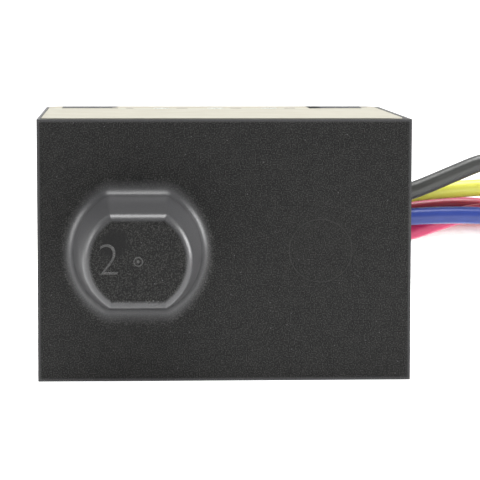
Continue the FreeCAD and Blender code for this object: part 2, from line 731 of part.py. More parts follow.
def make_relay():
    """An open-frame relay hanging from the board: base, yoke with core, coil, armature, springs."""
    under_base = "board_z - relay_base_thick"
    keep(block("relay_base", ("relay_length + yoke_thick", "relay_width", "relay_base_thick"),
               ("relay_x", "relay_y - relay_width / 2", under_base)))
    back = block("relay_yoke_back",
                 ("yoke_thick", "armature_width", f"{under_base} - relay_axis_z + yoke_drop"),
                 ("relay_x + yoke_inset", "relay_y - armature_width / 2", "relay_axis_z - yoke_drop"))
    roof = block("relay_yoke_roof",
                 ("armature_x - relay_x - yoke_inset - yoke_gap", "armature_width", "yoke_thick"),
                 ("relay_x + yoke_inset", "relay_y - armature_width / 2", f"{under_base} - yoke_thick"))
    core = rod("relay_core", "core_radius", "armature_x - relay_x - yoke_inset - core_gap",
               ("relay_x + yoke_inset", "relay_y", "relay_axis_z"), "x")
    keep(join("relay_yoke", back, roof, core))
    coil_start = "relay_x + coil_start"
    winding = rod("relay_winding", "coil_radius", "coil_length", (coil_start, "relay_y", "relay_axis_z"), "x")
    first = rod("relay_flange_back", "coil_flange", "coil_flange_thick",
                (coil_start, "relay_y", "relay_axis_z"), "x")
    last = rod("relay_flange_front", "coil_flange", "coil_flange_thick",
               (f"{coil_start} + coil_length - coil_flange_thick", "relay_y", "relay_axis_z"), "x")
    tunnel = rod("relay_tunnel", "core_radius + core_play", "coil_length + 2 * cut_spare",
                 (f"{coil_start} - cut_spare", "relay_y", "relay_axis_z"), "x")
    keep(cut("relay_coil", join("relay_coil_solid", winding, first, last), tunnel))
    plate = block("armature_plate", ("armature_thick", "armature_width", "armature_drop"),
                  ("armature_x - armature_thick / 2", "relay_y - armature_width / 2",
                   "armature_pivot_z - armature_drop"))
    knuckle = rod("armature_knuckle", "armature_thick / 2", "armature_width",
                  ("armature_x", "relay_y - armature_width / 2", "armature_pivot_z"), "y")
    keep(join("relay_armature", plate, knuckle))
    blade_x = "armature_x + armature_thick / 2 + return_spring_gap"
    keep(block("relay_return_spring",
               ("return_spring_thick", "return_spring_width", f"{under_base} - relay_axis_z"),
               (blade_x, "relay_y - return_spring_width / 2", "relay_axis_z")))
    keep(block("relay_contact",
               ("contact_thick", "contact_width", f"{under_base} - relay_axis_z + contact_drop"),
               ("armature_x + armature_thick / 2 + contact_gap", "relay_y - contact_width / 2",
                "relay_axis_z - contact_drop")))


# ---- Leads --------------------------------------------------------------------------------------

# Each lead's route from its solder joint to the put-away coil. It leaves the case through the
# bushing, bends down to the surface the case stands on, and meets the coil along its back.
LEAD_ROUTES = {
    "black": [(28, 8.1, 33.3), (36, 8.0, 33.5), (43, 7.8, 35.6), (51, 7.55, 39.0), (59.5, 7.35, 42.6),
              (68.8, 7.2, 42.0), (77, 7.2, 37.0), (83.3, 7.25, 28.8), (88.5, 7.3, 20.0), (94.5, 7.4, 12.3),
              (102, 7.4, 6.9), (110.5, 7.45, 6.1)],
    "yellow": [(28, 12.3, 33.4), (36, 12.4, 33.6), (45, 12.3, 35.0), (54, 12.0, 35.7), (63, 11.7, 36.2),
               (71.8, 11.5, 34.2), (79, 11.4, 28.9), (85, 11.3, 22.0), (91, 11.3, 15.2), (97.8, 11.25, 9.8),
               (106, 11.35, 6.9), (114.5, 11.3, 6.3)],
    "red": [(28, 15.2, 29.6), (36, 15.4, 29.8), (45, 15.6, 31.0), (54, 15.6, 31.9), (62.5, 15.5, 31.2),
            (70.5, 15.4, 27.0), (77, 15.3, 20.6), (83.5, 15.2, 13.8), (90.5, 15.2, 8.6), (99, 15.25, 6.5),
            (108, 15.15, 6.2), (117, 15.2, 6.3)],
    "blue": [(28, 7.2, 29.4), (36, 7.3, 29.5), (44.5, 7.4, 30.1), (53, 7.45, 30.3), (61.5, 7.4, 30.0),
             (69.5, 7.4, 26.2), (76, 7.4, 19.8), (82, 7.4, 12.8), (88.5, 7.4, 6.9), (96.5, 7.35, 3.0),
             (105, 7.45, 2.3), (111, 7.4, 2.4)],
    "pink": [(28, 10.6, 25.4), (36, 10.5, 25.5), (43, 10.8, 26.2), (50.8, 11.2, 29.1), (59, 11.4, 31.0),
             (67, 11.35, 29.6), (74, 11.3, 24.9), (80, 11.3, 18.6), (86, 11.3, 12.2), (92.5, 11.3, 6.8),
             (100, 11.3, 3.4), (107.5, 11.25, 2.3), (113.5, 11.3, 2.4)],
    "white": [(28, 14.4, 25.6), (36, 14.45, 25.5), (44.5, 14.8, 25.6), (52.5, 15.0, 26.5), (60.5, 15.1, 26.2),
              (67.8, 15.2, 23.2), (73.8, 15.2, 17.6), (79.5, 15.2, 11.4), (86, 15.2, 6.2), (94, 15.2, 3.2),
              (104, 15.25, 2.3), (115.5, 15.2, 2.4)],
}

# Where each lead lies in the coil: its column's radius, how high its centre starts, and its turns.
COIL_PLACES = {
    "black": (23.0, 6.25, 2.37),
    "yellow": (26.9, 6.25, 2.06),
    "red": (30.8, 6.25, 1.81),
    "blue": (23.0, 2.35, 2.40),
    "pink": (26.9, 2.35, 2.08),
    "white": (30.8, 2.35, 1.81),
}


def coil_point(radius, low, turned):
    """A point on a lead's centreline after so many turns, clockwise from the coil's back.

    Each turn climbs two rows between two thirds and eight ninths of the way round.
    """
    whole = math.floor(turned)
    climb = min(max((turned - whole - 2 / 3) / (8 / 9 - 2 / 3), 0), 1)
    rise = 2 * size("row_pitch") * (whole + climb * climb * (3 - 2 * climb))
    angle = math.pi / 2 - 2 * math.pi * turned
    return FreeCAD.Vector(size("coil_x") + radius * math.cos(angle),
                          size("coil_y") + radius * math.sin(angle), low + rise)


def rounded_path(points):
    """Straight runs joined by tangent arcs, each as large as its two runs allow."""
    corners = [FreeCAD.Vector(*point) for point in points]
    edges = []
    radii = []
    start = corners[0]
    for before, corner, after in zip(corners, corners[1:], corners[2:]):
        inward = (corner - before).normalize()
        outward = (after - corner).normalize()
        setback = 0.45 * min((corner - before).Length, (after - corner).Length)
        half_turn = inward.getAngle(outward) / 2
        radii.append(setback / math.tan(half_turn))
        enter = corner - inward * setback
        leave = corner + outward * setback
        middle_push = (outward - inward).normalize()
        apex = radii[-1] / math.cos(half_turn) - radii[-1]
        edges.append(Part.LineSegment(start, enter).toShape())
        edges.append(Part.Arc(enter, corner + middle_push * apex, leave).toShape())
        start = leave
    edges.append(Part.LineSegment(start, corners[-1]).toShape())
    return Part.Wire(edges), radii


def make_lead(colour, points):
    wire, radii = rounded_path(points)
    first = wire.Edges[0]
    ring = Part.Circle(first.valueAt(first.FirstParameter), first.tangentAt(first.FirstParameter),
                       size("lead_radius"))
    profile = Part.Wire([ring.toShape()])
    shape = wire.makePipeShell([profile], True, False)
    expected = math.pi * size("lead_radius") ** 2 * wire.Length
    if abs(shape.Volume - expected) > 0.01 * expected:
        raise RuntimeError(f"the {colour} lead's volume is {shape.Volume:.1f}, not {expected:.1f}")
    lead = doc.addObject("Part::Feature", f"lead_{colour}")
    lead.Label = f"lead_{colour}"
    lead.Shape = shape
    print(f"lead_{colour}: length {wire.Length:.1f}, arc radii", [round(radius, 1) for radius in radii])
    return keep(lead)


def coil_sector(name, outer, sweep, start, low, top):
    """Part of a ring about the coil's axis, anticlockwise from its start angle."""
    outside = doc.addObject("Part::Cylinder", f"{name}_outside")
    bind(outside, "Radius", outer)
    bind(outside, "Height", f"{top} - {low}")
    outside.Angle = sweep
    outside.Placement = FreeCAD.Placement(FreeCAD.Vector(), FreeCAD.Rotation(FreeCAD.Vector(0, 0, 1), start))
    place(outside, ("coil_x", "coil_y", low))
    hole = rod(f"{name}_hole", "coil_inner", f"{top} - {low} + 2 * cut_spare",
               ("coil_x", "coil_y", f"{low} - cut_spare"))
    return cut(name, outside, hole)


def make_lead_coil():
    """The outer shape of the wound leads: a ring two turns high, and the third turn's short stretches."""
    # The third turn starts where the leads climb, so the outer columns end sooner than the inner ones.
    ring = coil_sector("coil_ring", "coil_outer", 360, 0, "tie_thick", "coil_low_top")
    rising = coil_sector("coil_rising", "coil_outer", 120, 90, "coil_low_top", "coil_top")
    middle = coil_sector("coil_middle", "coil_outer - row_pitch", 31, 59, "coil_low_top", "coil_top")
    inner = coil_sector("coil_inside", "coil_outer - 2 * row_pitch", 113, -54, "coil_low_top", "coil_top")
    return keep(join("lead_coil", ring, rising, middle, inner))


def make_coil_tie():
    """A strap round the ring's section, at the front of the coil."""
    outside = block("tie_outside",
                    ("tie_width", "coil_outer - coil_inner + 2 * tie_gap + 2 * tie_thick",
                     "coil_low_top + tie_gap + tie_thick"),
                    ("coil_x - tie_width / 2", "coil_y - coil_outer - tie_gap - tie_thick", "0"))
    inside = block("tie_inside",
                   ("tie_width", "coil_outer - coil_inner + 2 * tie_gap", "coil_low_top + tie_gap - tie_thick"),
                   ("coil_x - tie_width / 2", "coil_y - coil_outer - tie_gap", "tie_thick"))
    return keep(cut("coil_tie", outside, inside))


def make_stripped_ends():
    """The bare tinned ends of the six leads, each straight on from its lead's last turn."""
    ends = []
    for radius, low, turns in COIL_PLACES.values():
        end = coil_point(radius, low, turns)
        heading = end - coil_point(radius, low, turns - 0.01)
        ends.append(Part.makeCylinder(size("core_wire_radius"), size("strip_length"), end, heading))
    stripped = doc.addObject("Part::Feature", "stripped_ends")
    stripped.Label = "stripped_ends"
    stripped.Shape = Part.Compound(ends)
    return keep(stripped)


def make_lead_board():
    """A small upright board that joins the six leads to the main board."""
    keep(block("lead_board", ("board_thick", "lead_board_width", "lead_board_drop"),
               ("lead_board_x", "lead_board_y", "board_z - lead_board_drop")))
    posts = []
    for colour, points in LEAD_ROUTES.items():
        start = points[0]
        posts.append(rod(f"terminal_{colour}", "core_wire_radius", "terminal_length",
                         ("lead_board_x - terminal_length", str(start[1]), str(start[2])), "x"))
    keep(join("lead_terminals", *posts))


make_housing_shell()
make_base_plate()
make_base_gasket()
make_base_screws()
make_top_label()
make_lamps()
make_lead_bushing()
make_circuit_board()
make_board_screws()
make_cradle()
phase_centres = [f"first_phase_x + {phase} * phase_pitch" for phase in range(3)]
for phase, phase_centre in enumerate(phase_centres, start=1):
    make_varistor(phase, phase_centre)
    make_disconnect(phase, phase_centre)
make_fuses(phase_centres)
make_capacitors()
make_relay()
make_lead_board()
for colour, points in LEAD_ROUTES.items():
    make_lead(colour, points)
make_lead_coil()
make_coil_tie()
make_stripped_ends()

doc.recompute()
for item in doc.Objects:
    if "Invalid" in item.State or "Error" in item.State:
        raise RuntimeError(f"{item.Label} failed: {item.State}")
for item in nodes:
    if item.Shape.isNull() or not item.Shape.isValid():
        raise RuntimeError(f"{item.Label} has a bad shape")

os.makedirs("parts", exist_ok=True)
for item in nodes:
    item.Shape.exportStep(f"parts/{item.Label}.step")
print(len(nodes), "sub-parts written")
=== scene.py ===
import json
import math

import bmesh
import bpy
from mathutils import Matrix, Vector


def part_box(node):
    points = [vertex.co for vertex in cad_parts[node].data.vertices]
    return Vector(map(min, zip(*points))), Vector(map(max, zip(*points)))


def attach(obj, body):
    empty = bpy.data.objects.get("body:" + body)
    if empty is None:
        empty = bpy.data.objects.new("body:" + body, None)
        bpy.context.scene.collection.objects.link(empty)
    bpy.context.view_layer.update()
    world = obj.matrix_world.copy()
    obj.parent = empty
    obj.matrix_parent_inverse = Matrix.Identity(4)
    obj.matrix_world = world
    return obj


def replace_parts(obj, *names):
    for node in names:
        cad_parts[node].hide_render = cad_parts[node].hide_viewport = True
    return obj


# A hard-wired surge protector: a black moulded case with a hollow stub, a cream label on top and
# six insulated leads wound into a put-away coil. Metres, in the frame's own axes.

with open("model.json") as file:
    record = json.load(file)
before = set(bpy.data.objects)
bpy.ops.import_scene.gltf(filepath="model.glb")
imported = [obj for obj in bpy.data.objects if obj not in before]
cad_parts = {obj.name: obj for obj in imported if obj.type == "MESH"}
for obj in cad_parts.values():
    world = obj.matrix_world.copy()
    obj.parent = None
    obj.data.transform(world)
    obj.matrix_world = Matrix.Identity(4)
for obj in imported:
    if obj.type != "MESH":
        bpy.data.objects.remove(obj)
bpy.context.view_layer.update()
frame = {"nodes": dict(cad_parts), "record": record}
nodes = frame["nodes"]

MM = 0.001
BODY = "case"


# ---- Places taken from the frame ----------------------------------------------------------------

shell_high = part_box("housing_shell")[1]
label_low, label_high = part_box("top_label")
bushing_low, bushing_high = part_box("lead_bushing")
tie_low, tie_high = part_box("coil_tie")

CASE_HALF_WIDTH = shell_high.x
CASE_HALF_DEPTH = shell_high.y
CASE_HEIGHT = shell_high.z
WALL = 3.0 * MM
EDGE_ROUND = 0.7 * MM
RABBET_DEPTH = 3.3 * MM
RABBET_STEP = 1.2 * MM
# How far a cutter reaches past what it cuts.
CUT_SPARE = 1 * MM
LENSES = ("light_pipe_1", "light_pipe_2", "light_pipe_3")
LENS_GAP = 0.03 * MM

STUB_CENTRE = Vector((-17.6, -32.0, 26.4)) * MM
STUB_RADIUS = 13.1 * MM
STUB_FLAT = 11.6 * MM
STUB_REACH = 20.5 * MM
STUB_WALL = 2.4 * MM
STUB_DRAFT = math.radians(7.1)
STUB_CORNER = 3.0 * MM
STUB_FOOT_ROUND = 3.2 * MM
STUB_TIP_ROUND = 2.0 * MM
# The foot spreads further above and below the flats, so that it ends nearly round.
FOOT_STRETCH = 1.45
STUB_TIP_Y = STUB_CENTRE.y - STUB_REACH
TIP_CENTRE = Vector((STUB_CENTRE.x, STUB_TIP_Y, STUB_CENTRE.z))

# The marks on the stub's end stand this proud, and reach the CAD shape's full length.
MARK_HEIGHT = 0.06 * MM

WITNESS_CENTRE = Vector((19.4, -32.0, 26.4)) * MM
WITNESS_RADIUS = 6.5 * MM
WITNESS_LINE = 0.3 * MM
WITNESS_DEPTH = 0.1 * MM

LEAD_RADIUS = 1.9 * MM
BARE_LENGTH = 9.0 * MM
ROW_PITCH = 3.9 * MM
COIL_CENTRE = Vector((128.0, -15.6, 0)) * MM
BUSHING_CENTRE = Vector((bushing_high.x, (bushing_low.y + bushing_high.y) / 2,
                         (bushing_low.z + bushing_high.z) / 2))

# Each lead's route from its solder joint to the put-away coil, in millimetres.
LEAD_ROUTES = {
    "black": [(28, 8.1, 33.3), (36, 8.0, 33.5), (43, 7.8, 35.6), (51, 7.55, 39.0), (59.5, 7.35, 42.6),
              (68.8, 7.2, 42.0), (77, 7.2, 37.0), (83.3, 7.25, 28.8), (88.5, 7.3, 20.0), (94.5, 7.4, 12.3),
              (102, 7.4, 6.9), (110.5, 7.45, 6.1)],
    "yellow": [(28, 12.3, 33.4), (36, 12.4, 33.6), (45, 12.3, 35.0), (54, 12.0, 35.7), (63, 11.7, 36.2),
               (71.8, 11.5, 34.2), (79, 11.4, 28.9), (85, 11.3, 22.0), (91, 11.3, 15.2), (97.8, 11.25, 9.8),
               (106, 11.35, 6.9), (114.5, 11.3, 6.3)],
    "red": [(28, 15.2, 29.6), (36, 15.4, 29.8), (45, 15.6, 31.0), (54, 15.6, 31.9), (62.5, 15.5, 31.2),
            (70.5, 15.4, 27.0), (77, 15.3, 20.6), (83.5, 15.2, 13.8), (90.5, 15.2, 8.6), (99, 15.25, 6.5),
            (108, 15.15, 6.2), (117, 15.2, 6.3)],
    "blue": [(28, 7.2, 29.4), (36, 7.3, 29.5), (44.5, 7.4, 30.1), (53, 7.45, 30.3), (61.5, 7.4, 30.0),
             (69.5, 7.4, 26.2), (76, 7.4, 19.8), (82, 7.4, 12.8), (88.5, 7.4, 6.9), (96.5, 7.35, 3.0),
             (105, 7.45, 2.3), (111, 7.4, 2.4)],
    "pink": [(28, 10.6, 25.4), (36, 10.5, 25.5), (43, 10.8, 26.2), (50.8, 11.2, 29.1), (59, 11.4, 31.0),
             (67, 11.35, 29.6), (74, 11.3, 24.9), (80, 11.3, 18.6), (86, 11.3, 12.2), (92.5, 11.3, 6.8),
             (100, 11.3, 3.4), (107.5, 11.25, 2.3), (113.5, 11.3, 2.4)],
    "white": [(28, 14.4, 25.6), (36, 14.45, 25.5), (44.5, 14.8, 25.6), (52.5, 15.0, 26.5), (60.5, 15.1, 26.2),
              (67.8, 15.2, 23.2), (73.8, 15.2, 17.6), (79.5, 15.2, 11.4), (86, 15.2, 6.2), (94, 15.2, 3.2),
              (104, 15.25, 2.3), (115.5, 15.2, 2.4)],
}

# Where each lead lies in the coil: its column's radius, how high its centre starts, and its turns.
COIL_PLACES = {
    "black": (23.0 * MM, 6.25 * MM, 2.37),
    "yellow": (26.9 * MM, 6.25 * MM, 2.06),
    "red": (30.8 * MM, 6.25 * MM, 1.81),
    "blue": (23.0 * MM, 2.35 * MM, 2.40),
    "pink": (26.9 * MM, 2.35 * MM, 2.08),
    "white": (30.8 * MM, 2.35 * MM, 1.81),
}


# ---- Camera, floor and light --------------------------------------------------------------------

CAMERA_PLACE = Vector((-20.2, -507.7, 73.9)) * MM
CAMERA_AIM = Vector((0.0486, 0.9943, -0.0946))
CAMERA_ROLL = math.radians(0.09)


def make_camera():
    data = bpy.data.cameras.new("camera")
    data.sensor_width = 36
    data.lens = 177.8
    data.clip_start = 0.01
    data.clip_end = 20
    camera = bpy.data.objects.new("camera", data)
    bpy.context.scene.collection.objects.link(camera)
    turn = CAMERA_AIM.to_track_quat("-Z", "Y").to_matrix() @ Matrix.Rotation(CAMERA_ROLL, 3, "Z")
    camera.matrix_world = Matrix.Translation(CAMERA_PLACE) @ turn.to_4x4()
    bpy.context.scene.camera = camera


def make_softbox(name, place, target, width, height, power):
    data = bpy.data.lights.new(name, "AREA")
    data.shape = "RECTANGLE"
    data.size = width
    data.size_y = height
    data.energy = power
    lamp = bpy.data.objects.new(name, data)
    bpy.context.scene.collection.objects.link(lamp)
    lamp.location = place
    lamp.rotation_euler = (Vector(target) - Vector(place)).to_track_quat("-Z", "Y").to_euler()


def add_node(tree, kind, inputs=(), **settings):
    """Adds a node, sets its properties, and gives each input a value or another node's socket."""
    node = tree.nodes.new(kind)
    for name, value in settings.items():
        setattr(node, name, value)
    for key, value in dict(inputs).items():
        if isinstance(value, bpy.types.NodeSocket):
            tree.links.new(value, node.inputs[key])
        else:
            node.inputs[key].default_value = value
    return node


def linear(hex_colour):
    """An sRGB hex colour as linear RGBA."""
    channels = [int(hex_colour[i:i + 2], 16) / 255 for i in (1, 3, 5)]
    return [c / 12.92 if c <= 0.04045 else ((c + 0.055) / 1.055) ** 2.4 for c in channels] + [1.0]


def make_studio():
    """A glowing white sweep under a soft sky, a large softbox overhead and weak fills at the sides."""
    world = bpy.data.worlds.new("studio")
    bpy.context.scene.world = world
    world.use_nodes = True
    world.node_tree.nodes["Background"].inputs["Color"].default_value = (1.0, 1.0, 1.0, 1.0)
    world.node_tree.nodes["Background"].inputs["Strength"].default_value = 0.18
    bpy.context.scene.view_settings.view_transform = "Standard"
    make_softbox("top_softbox", (0.0, 0.0, 0.8), (0.0, 0.0, 0.03), 0.5, 0.5, 8.5)
    make_softbox("left_softbox", (-0.6, -0.06, 0.2), (0.0, -0.045, 0.03), 0.3, 0.35, 2.6)
    make_softbox("right_softbox", (0.6, -0.06, 0.2), (0.0, -0.045, 0.03), 0.3, 0.35, 6.0)
    make_softbox("front_fill", (-0.2, -1.2, 0.6), (0.0, -0.03, 0.03), 0.5, 0.5, 2.0)

    # The sweep runs level under the object, curves up well behind it and ends in an upright wall.
    half_width, front, bend_start, bend_radius, wall_top = 4.0, -1.5, 1.2, 0.8, 3.0
    level = -0.05 * MM
    bend_steps = 16
    outline = [(front, level)]
    for step in range(bend_steps + 1):
        angle = math.pi / 2 * step / bend_steps
        outline.append((bend_start + bend_radius * math.sin(angle),
                        level + bend_radius * (1 - math.cos(angle))))
    outline.append((bend_start + bend_radius, wall_top))
    points = [(side * half_width, y, z) for y, z in outline for side in (-1, 1)]
    faces = [(2 * row, 2 * row + 1, 2 * row + 3, 2 * row + 2) for row in range(len(outline) - 1)]
    sheet = bpy.data.meshes.new("floor")
    sheet.from_pydata(points, [], faces)
    for polygon in sheet.polygons:
        polygon.use_smooth = True
    floor = bpy.data.objects.new("floor", sheet)
    bpy.context.scene.collection.objects.link(floor)
    # Matt white paper. It glows a little, so it stays white right up to the object.
    material = bpy.data.materials.new("white_paper_sweep")
    material.use_nodes = True
    shader = material.node_tree.nodes["Principled BSDF"]
    shader.inputs["Base Color"].default_value = linear("#F8F8F8")
    shader.inputs["Roughness"].default_value = 0.9
    shader.inputs["Emission Color"].default_value = (1.0, 1.0, 1.0, 1.0)
    shader.inputs["Emission Strength"].default_value = 0.65
    sheet.materials.append(material)


# ---- Materials ----------------------------------------------------------------------------------

# A Map Range node's sockets: 0 the value, 1 and 2 the range it comes from, 3 and 4 the range it
# goes to, which is 0 to 1 unless set. A Mix node's: 0 the share, 2 and 3 two numbers, 6 and 7 two
# colours.

def new_material(name, colour, roughness, **sockets):
    """A principled material with constant values on the shader's own sockets."""
    material = bpy.data.materials.new(name)
    material.use_nodes = True
    tree = material.node_tree
    shader = tree.nodes["Principled BSDF"]
    shader.inputs["Base Color"].default_value = linear(colour)
    shader.inputs["Roughness"].default_value = roughness
    for socket, value in sockets.items():
        shader.inputs[socket.replace("_", " ")].default_value = value
    place = add_node(tree, "ShaderNodeTexCoord").outputs["Object"]
    return material, tree, shader, place


def shaded(tree, pattern, low, high, most, colour, shade):
    """The colour, going over to the shade by up to a share as the pattern goes from low to high."""
    share = add_node(tree, "ShaderNodeMapRange", {0: pattern, 1: low, 2: high, 4: most}).outputs[0]
    ends = [linear(end) if isinstance(end, str) else end for end in (colour, shade)]
    return add_node(tree, "ShaderNodeMix", {0: share, 6: ends[0], 7: ends[1]}, data_type="RGBA").outputs[2]


def vary_gloss(tree, shader, pattern, smoothest, roughest):
    """Lets the roughness follow a pattern between two values."""
    spread = add_node(tree, "ShaderNodeMapRange", {0: pattern, 1: 0.3, 2: 0.7, 3: smoothest, 4: roughest})
    tree.links.new(spread.outputs[0], shader.inputs["Roughness"])


def moulded_plastic(name, colour, light, grain, roughness=0.5, specular=0.4):
    """Moulded plastic from a spark-eroded mould: even pits, mottling and a few pale specks."""
    material, tree, shader, place = new_material(name, colour, roughness, Specular_IOR_Level=specular)
    pits = add_node(tree, "ShaderNodeTexNoise", {"Vector": place, "Scale": 1 / grain, "Detail": 3.0})
    mottle = add_node(tree, "ShaderNodeTexNoise", {"Vector": place, "Scale": 1 / (6 * grain), "Detail": 2.0})
    pits = pits.outputs["Fac"]
    pit_share = add_node(tree, "ShaderNodeMapRange", {0: pits, 1: 0.48, 2: 0.66}).outputs[0]
    mottle_share = add_node(tree, "ShaderNodeMapRange", {0: mottle.outputs["Fac"], 1: 0.4, 2: 0.65, 4: 0.1})
    share = add_node(tree, "ShaderNodeMath", {0: pit_share, 1: mottle_share.outputs[0]}, operation="ADD")
    mixed = shaded(tree, share.outputs[0], 0.0, 1.0, 1.0, colour, light)

    # One speck of dust in each cell, fading out over the outer part of its radius.
    speck_pitch = 9 * grain
    speck_radius = 0.55 * grain
    reach = speck_radius / speck_pitch
    cells = add_node(tree, "ShaderNodeTexVoronoi", {"Vector": place, "Scale": 1 / speck_pitch})
    specks = add_node(tree, "ShaderNodeMapRange", {0: cells.outputs["Distance"], 1: reach, 2: 0.4 * reach})
    dusted = shaded(tree, specks.outputs[0], 0.0, 1.0, 0.35, mixed, "#8A8A8C")
    tree.links.new(dusted, shader.inputs["Base Color"])
    vary_gloss(tree, shader, pits, roughness - 0.08, roughness + 0.1)
    bump = add_node(tree, "ShaderNodeBump", {"Height": pits, "Distance": 0.25 * grain})
    tree.links.new(bump.outputs["Normal"], shader.inputs["Normal"])
    return material


def edge_highlight_mask(tree, place):
    """A mask of the case's rounded edges, where any two coordinates are near the case's sides."""
    axes = add_node(tree, "ShaderNodeSeparateXYZ", {"Vector": place})
    total = -1.0
    for axis, middle, half in (("X", 0.0, CASE_HALF_WIDTH), ("Y", 0.0, CASE_HALF_DEPTH),
                               ("Z", CASE_HEIGHT / 2, CASE_HEIGHT / 2)):
        offset = add_node(tree, "ShaderNodeMath", {0: axes.outputs[axis], 1: middle}, operation="SUBTRACT")
        reach = add_node(tree, "ShaderNodeMath", {0: offset.outputs[0]}, operation="ABSOLUTE").outputs[0]
        near = add_node(tree, "ShaderNodeMapRange", {0: reach, 1: half - EDGE_ROUND,
                                                     2: half - 0.3 * EDGE_ROUND})
        total = add_node(tree, "ShaderNodeMath", {0: near.outputs[0], 1: total}, operation="ADD").outputs[0]
    return add_node(tree, "ShaderNodeMapRange", {0: total, 4: 0.8}).outputs[0]


def case_plastic():
    """Black flame-retardant PBT from a spark-eroded mould.

    The real grain is nearer 0.1 mm, and it is drawn at 0.25 mm so that it shows in the render.
    The flat walls have a soft, low gloss, with a ring left by an ejector pin that carries a painted
    highlight.
    The stub's part of the mould had a mirror polish, so the stub is glossier; it and the rounded edges are
    also painted paler, as painted sheen and highlights. The melt front left a smoother patch on its end,
    where the colour goes back to nearly black.
    """
    material = moulded_plastic("black_pbt_spark_eroded", "#030303", "#333331", 0.25 * MM, 0.5, 0.2)
    tree = material.node_tree
    shader = tree.nodes["Principled BSDF"]
    place = tree.nodes["Texture Coordinate"].outputs["Object"]
    grainy_colour = shader.inputs["Base Color"].links[0].from_socket
    grainy_roughness = shader.inputs["Roughness"].links[0].from_socket
    bump = shader.inputs["Normal"].links[0].from_node

    # A painted highlight: a paler line along the ring that the ejector pin left.
    reach = add_node(tree, "ShaderNodeVectorMath", {0: place, 1: WITNESS_CENTRE}, operation="DISTANCE")
    across = add_node(tree, "ShaderNodeMapRange", {
        0: reach.outputs["Value"], 1: WITNESS_RADIUS - WITNESS_LINE, 2: WITNESS_RADIUS, 3: -1.0, 4: 1.0})
    off_line = add_node(tree, "ShaderNodeMath", {0: across.outputs[0]}, operation="ABSOLUTE").outputs[0]
    colour_with_ring_highlight = shaded(tree, off_line, 0.9, 0.3, 0.4, grainy_colour, "#4A4A48")

    depth = add_node(tree, "ShaderNodeSeparateXYZ", {"Vector": place}).outputs["Y"]
    beyond_wall = add_node(tree, "ShaderNodeMapRange", {0: depth, 1: STUB_CENTRE.y - 0.05 * MM,
                                                        2: STUB_CENTRE.y - 0.9 * MM}).outputs[0]
    before_tip = add_node(tree, "ShaderNodeMapRange", {0: depth, 1: STUB_TIP_Y + 0.08 * MM,
                                                       2: STUB_TIP_Y + 0.25 * MM}).outputs[0]
    stub = add_node(tree, "ShaderNodeMath", {0: beyond_wall, 1: before_tip}, operation="MULTIPLY").outputs[0]
    # Where the stub and the case's rounded edges are glossier, and are painted paler as painted sheen and
    # highlights.
    gloss_and_painted_sheen = add_node(tree, "ShaderNodeMath", {0: stub, 1: edge_highlight_mask(tree, place)}, operation="MAXIMUM")
    gloss_and_painted_sheen = gloss_and_painted_sheen.outputs[0]

    patch_centre = TIP_CENTRE + Vector((-4.6, 0, 4.0)) * MM
    away = add_node(tree, "ShaderNodeVectorMath", {0: place, 1: patch_centre}, operation="DISTANCE")
    wobble = add_node(tree, "ShaderNodeTexNoise", {"Vector": place, "Scale": 1 / (3.0 * MM), "Detail": 2.0})
    shift = add_node(tree, "ShaderNodeMapRange", {0: wobble.outputs["Fac"], 1: 0.3, 2: 0.7, 3: -1.2 * MM,
                                                  4: 1.2 * MM}).outputs[0]
    edge = add_node(tree, "ShaderNodeMath", {0: shift, 1: away.outputs["Value"]}, operation="ADD").outputs[0]
    patch = add_node(tree, "ShaderNodeMapRange", {0: edge, 1: 3.4 * MM, 2: 2.2 * MM}).outputs[0]

    # Painted sheen and highlights: the stub and the rounded edges go over towards a paler grey, and the patch
    # on the stub's end goes back to nearly black.
    colour_with_painted_sheen = shaded(tree, gloss_and_painted_sheen, 0.0, 1.0, 0.55, colour_with_ring_highlight, "#49494B")
    tree.links.new(shaded(tree, patch, 0.0, 1.0, 0.85, colour_with_painted_sheen, "#060606"), shader.inputs["Base Color"])
    smooth = add_node(tree, "ShaderNodeMix", {0: gloss_and_painted_sheen, 2: grainy_roughness, 3: 0.36}, data_type="FLOAT")
    glossy = add_node(tree, "ShaderNodeMix", {0: patch, 2: smooth.outputs[0], 3: 0.28}, data_type="FLOAT")
    tree.links.new(glossy.outputs[0], shader.inputs["Roughness"])
    relief = add_node(tree, "ShaderNodeMapRange", {0: gloss_and_painted_sheen, 3: 1.0, 4: 0.35})
    tree.links.new(relief.outputs[0], bump.inputs["Strength"])
    shine = add_node(tree, "ShaderNodeMapRange", {0: gloss_and_painted_sheen, 3: 0.22, 4: 0.5})
    tree.links.new(shine.outputs[0], shader.inputs["Specular IOR Level"])
    return material


def pvc_insulation(name, colour, shade, roughness=0.34):
    """PVC insulation, extruded: satin gloss, faint colour changes and a very fine, soft grain."""
    material, tree, shader, place = new_material(name, colour, roughness, Specular_IOR_Level=0.5)
    clouds = add_node(tree, "ShaderNodeTexNoise", {"Vector": place, "Scale": 1 / (5.0 * MM), "Detail": 3.0})
    fine = add_node(tree, "ShaderNodeTexNoise", {"Vector": place, "Scale": 1 / (0.5 * MM), "Detail": 2.0})
    tree.links.new(shaded(tree, clouds.outputs["Fac"], 0.35, 0.75, 0.5, colour, shade),
                   shader.inputs["Base Color"])
    vary_gloss(tree, shader, fine.outputs["Fac"], roughness - 0.05, roughness + 0.09)
    bump = add_node(tree, "ShaderNodeBump", {"Height": fine.outputs["Fac"], "Distance": 0.02 * MM})
    tree.links.new(bump.outputs["Normal"], shader.inputs["Normal"])
    return material


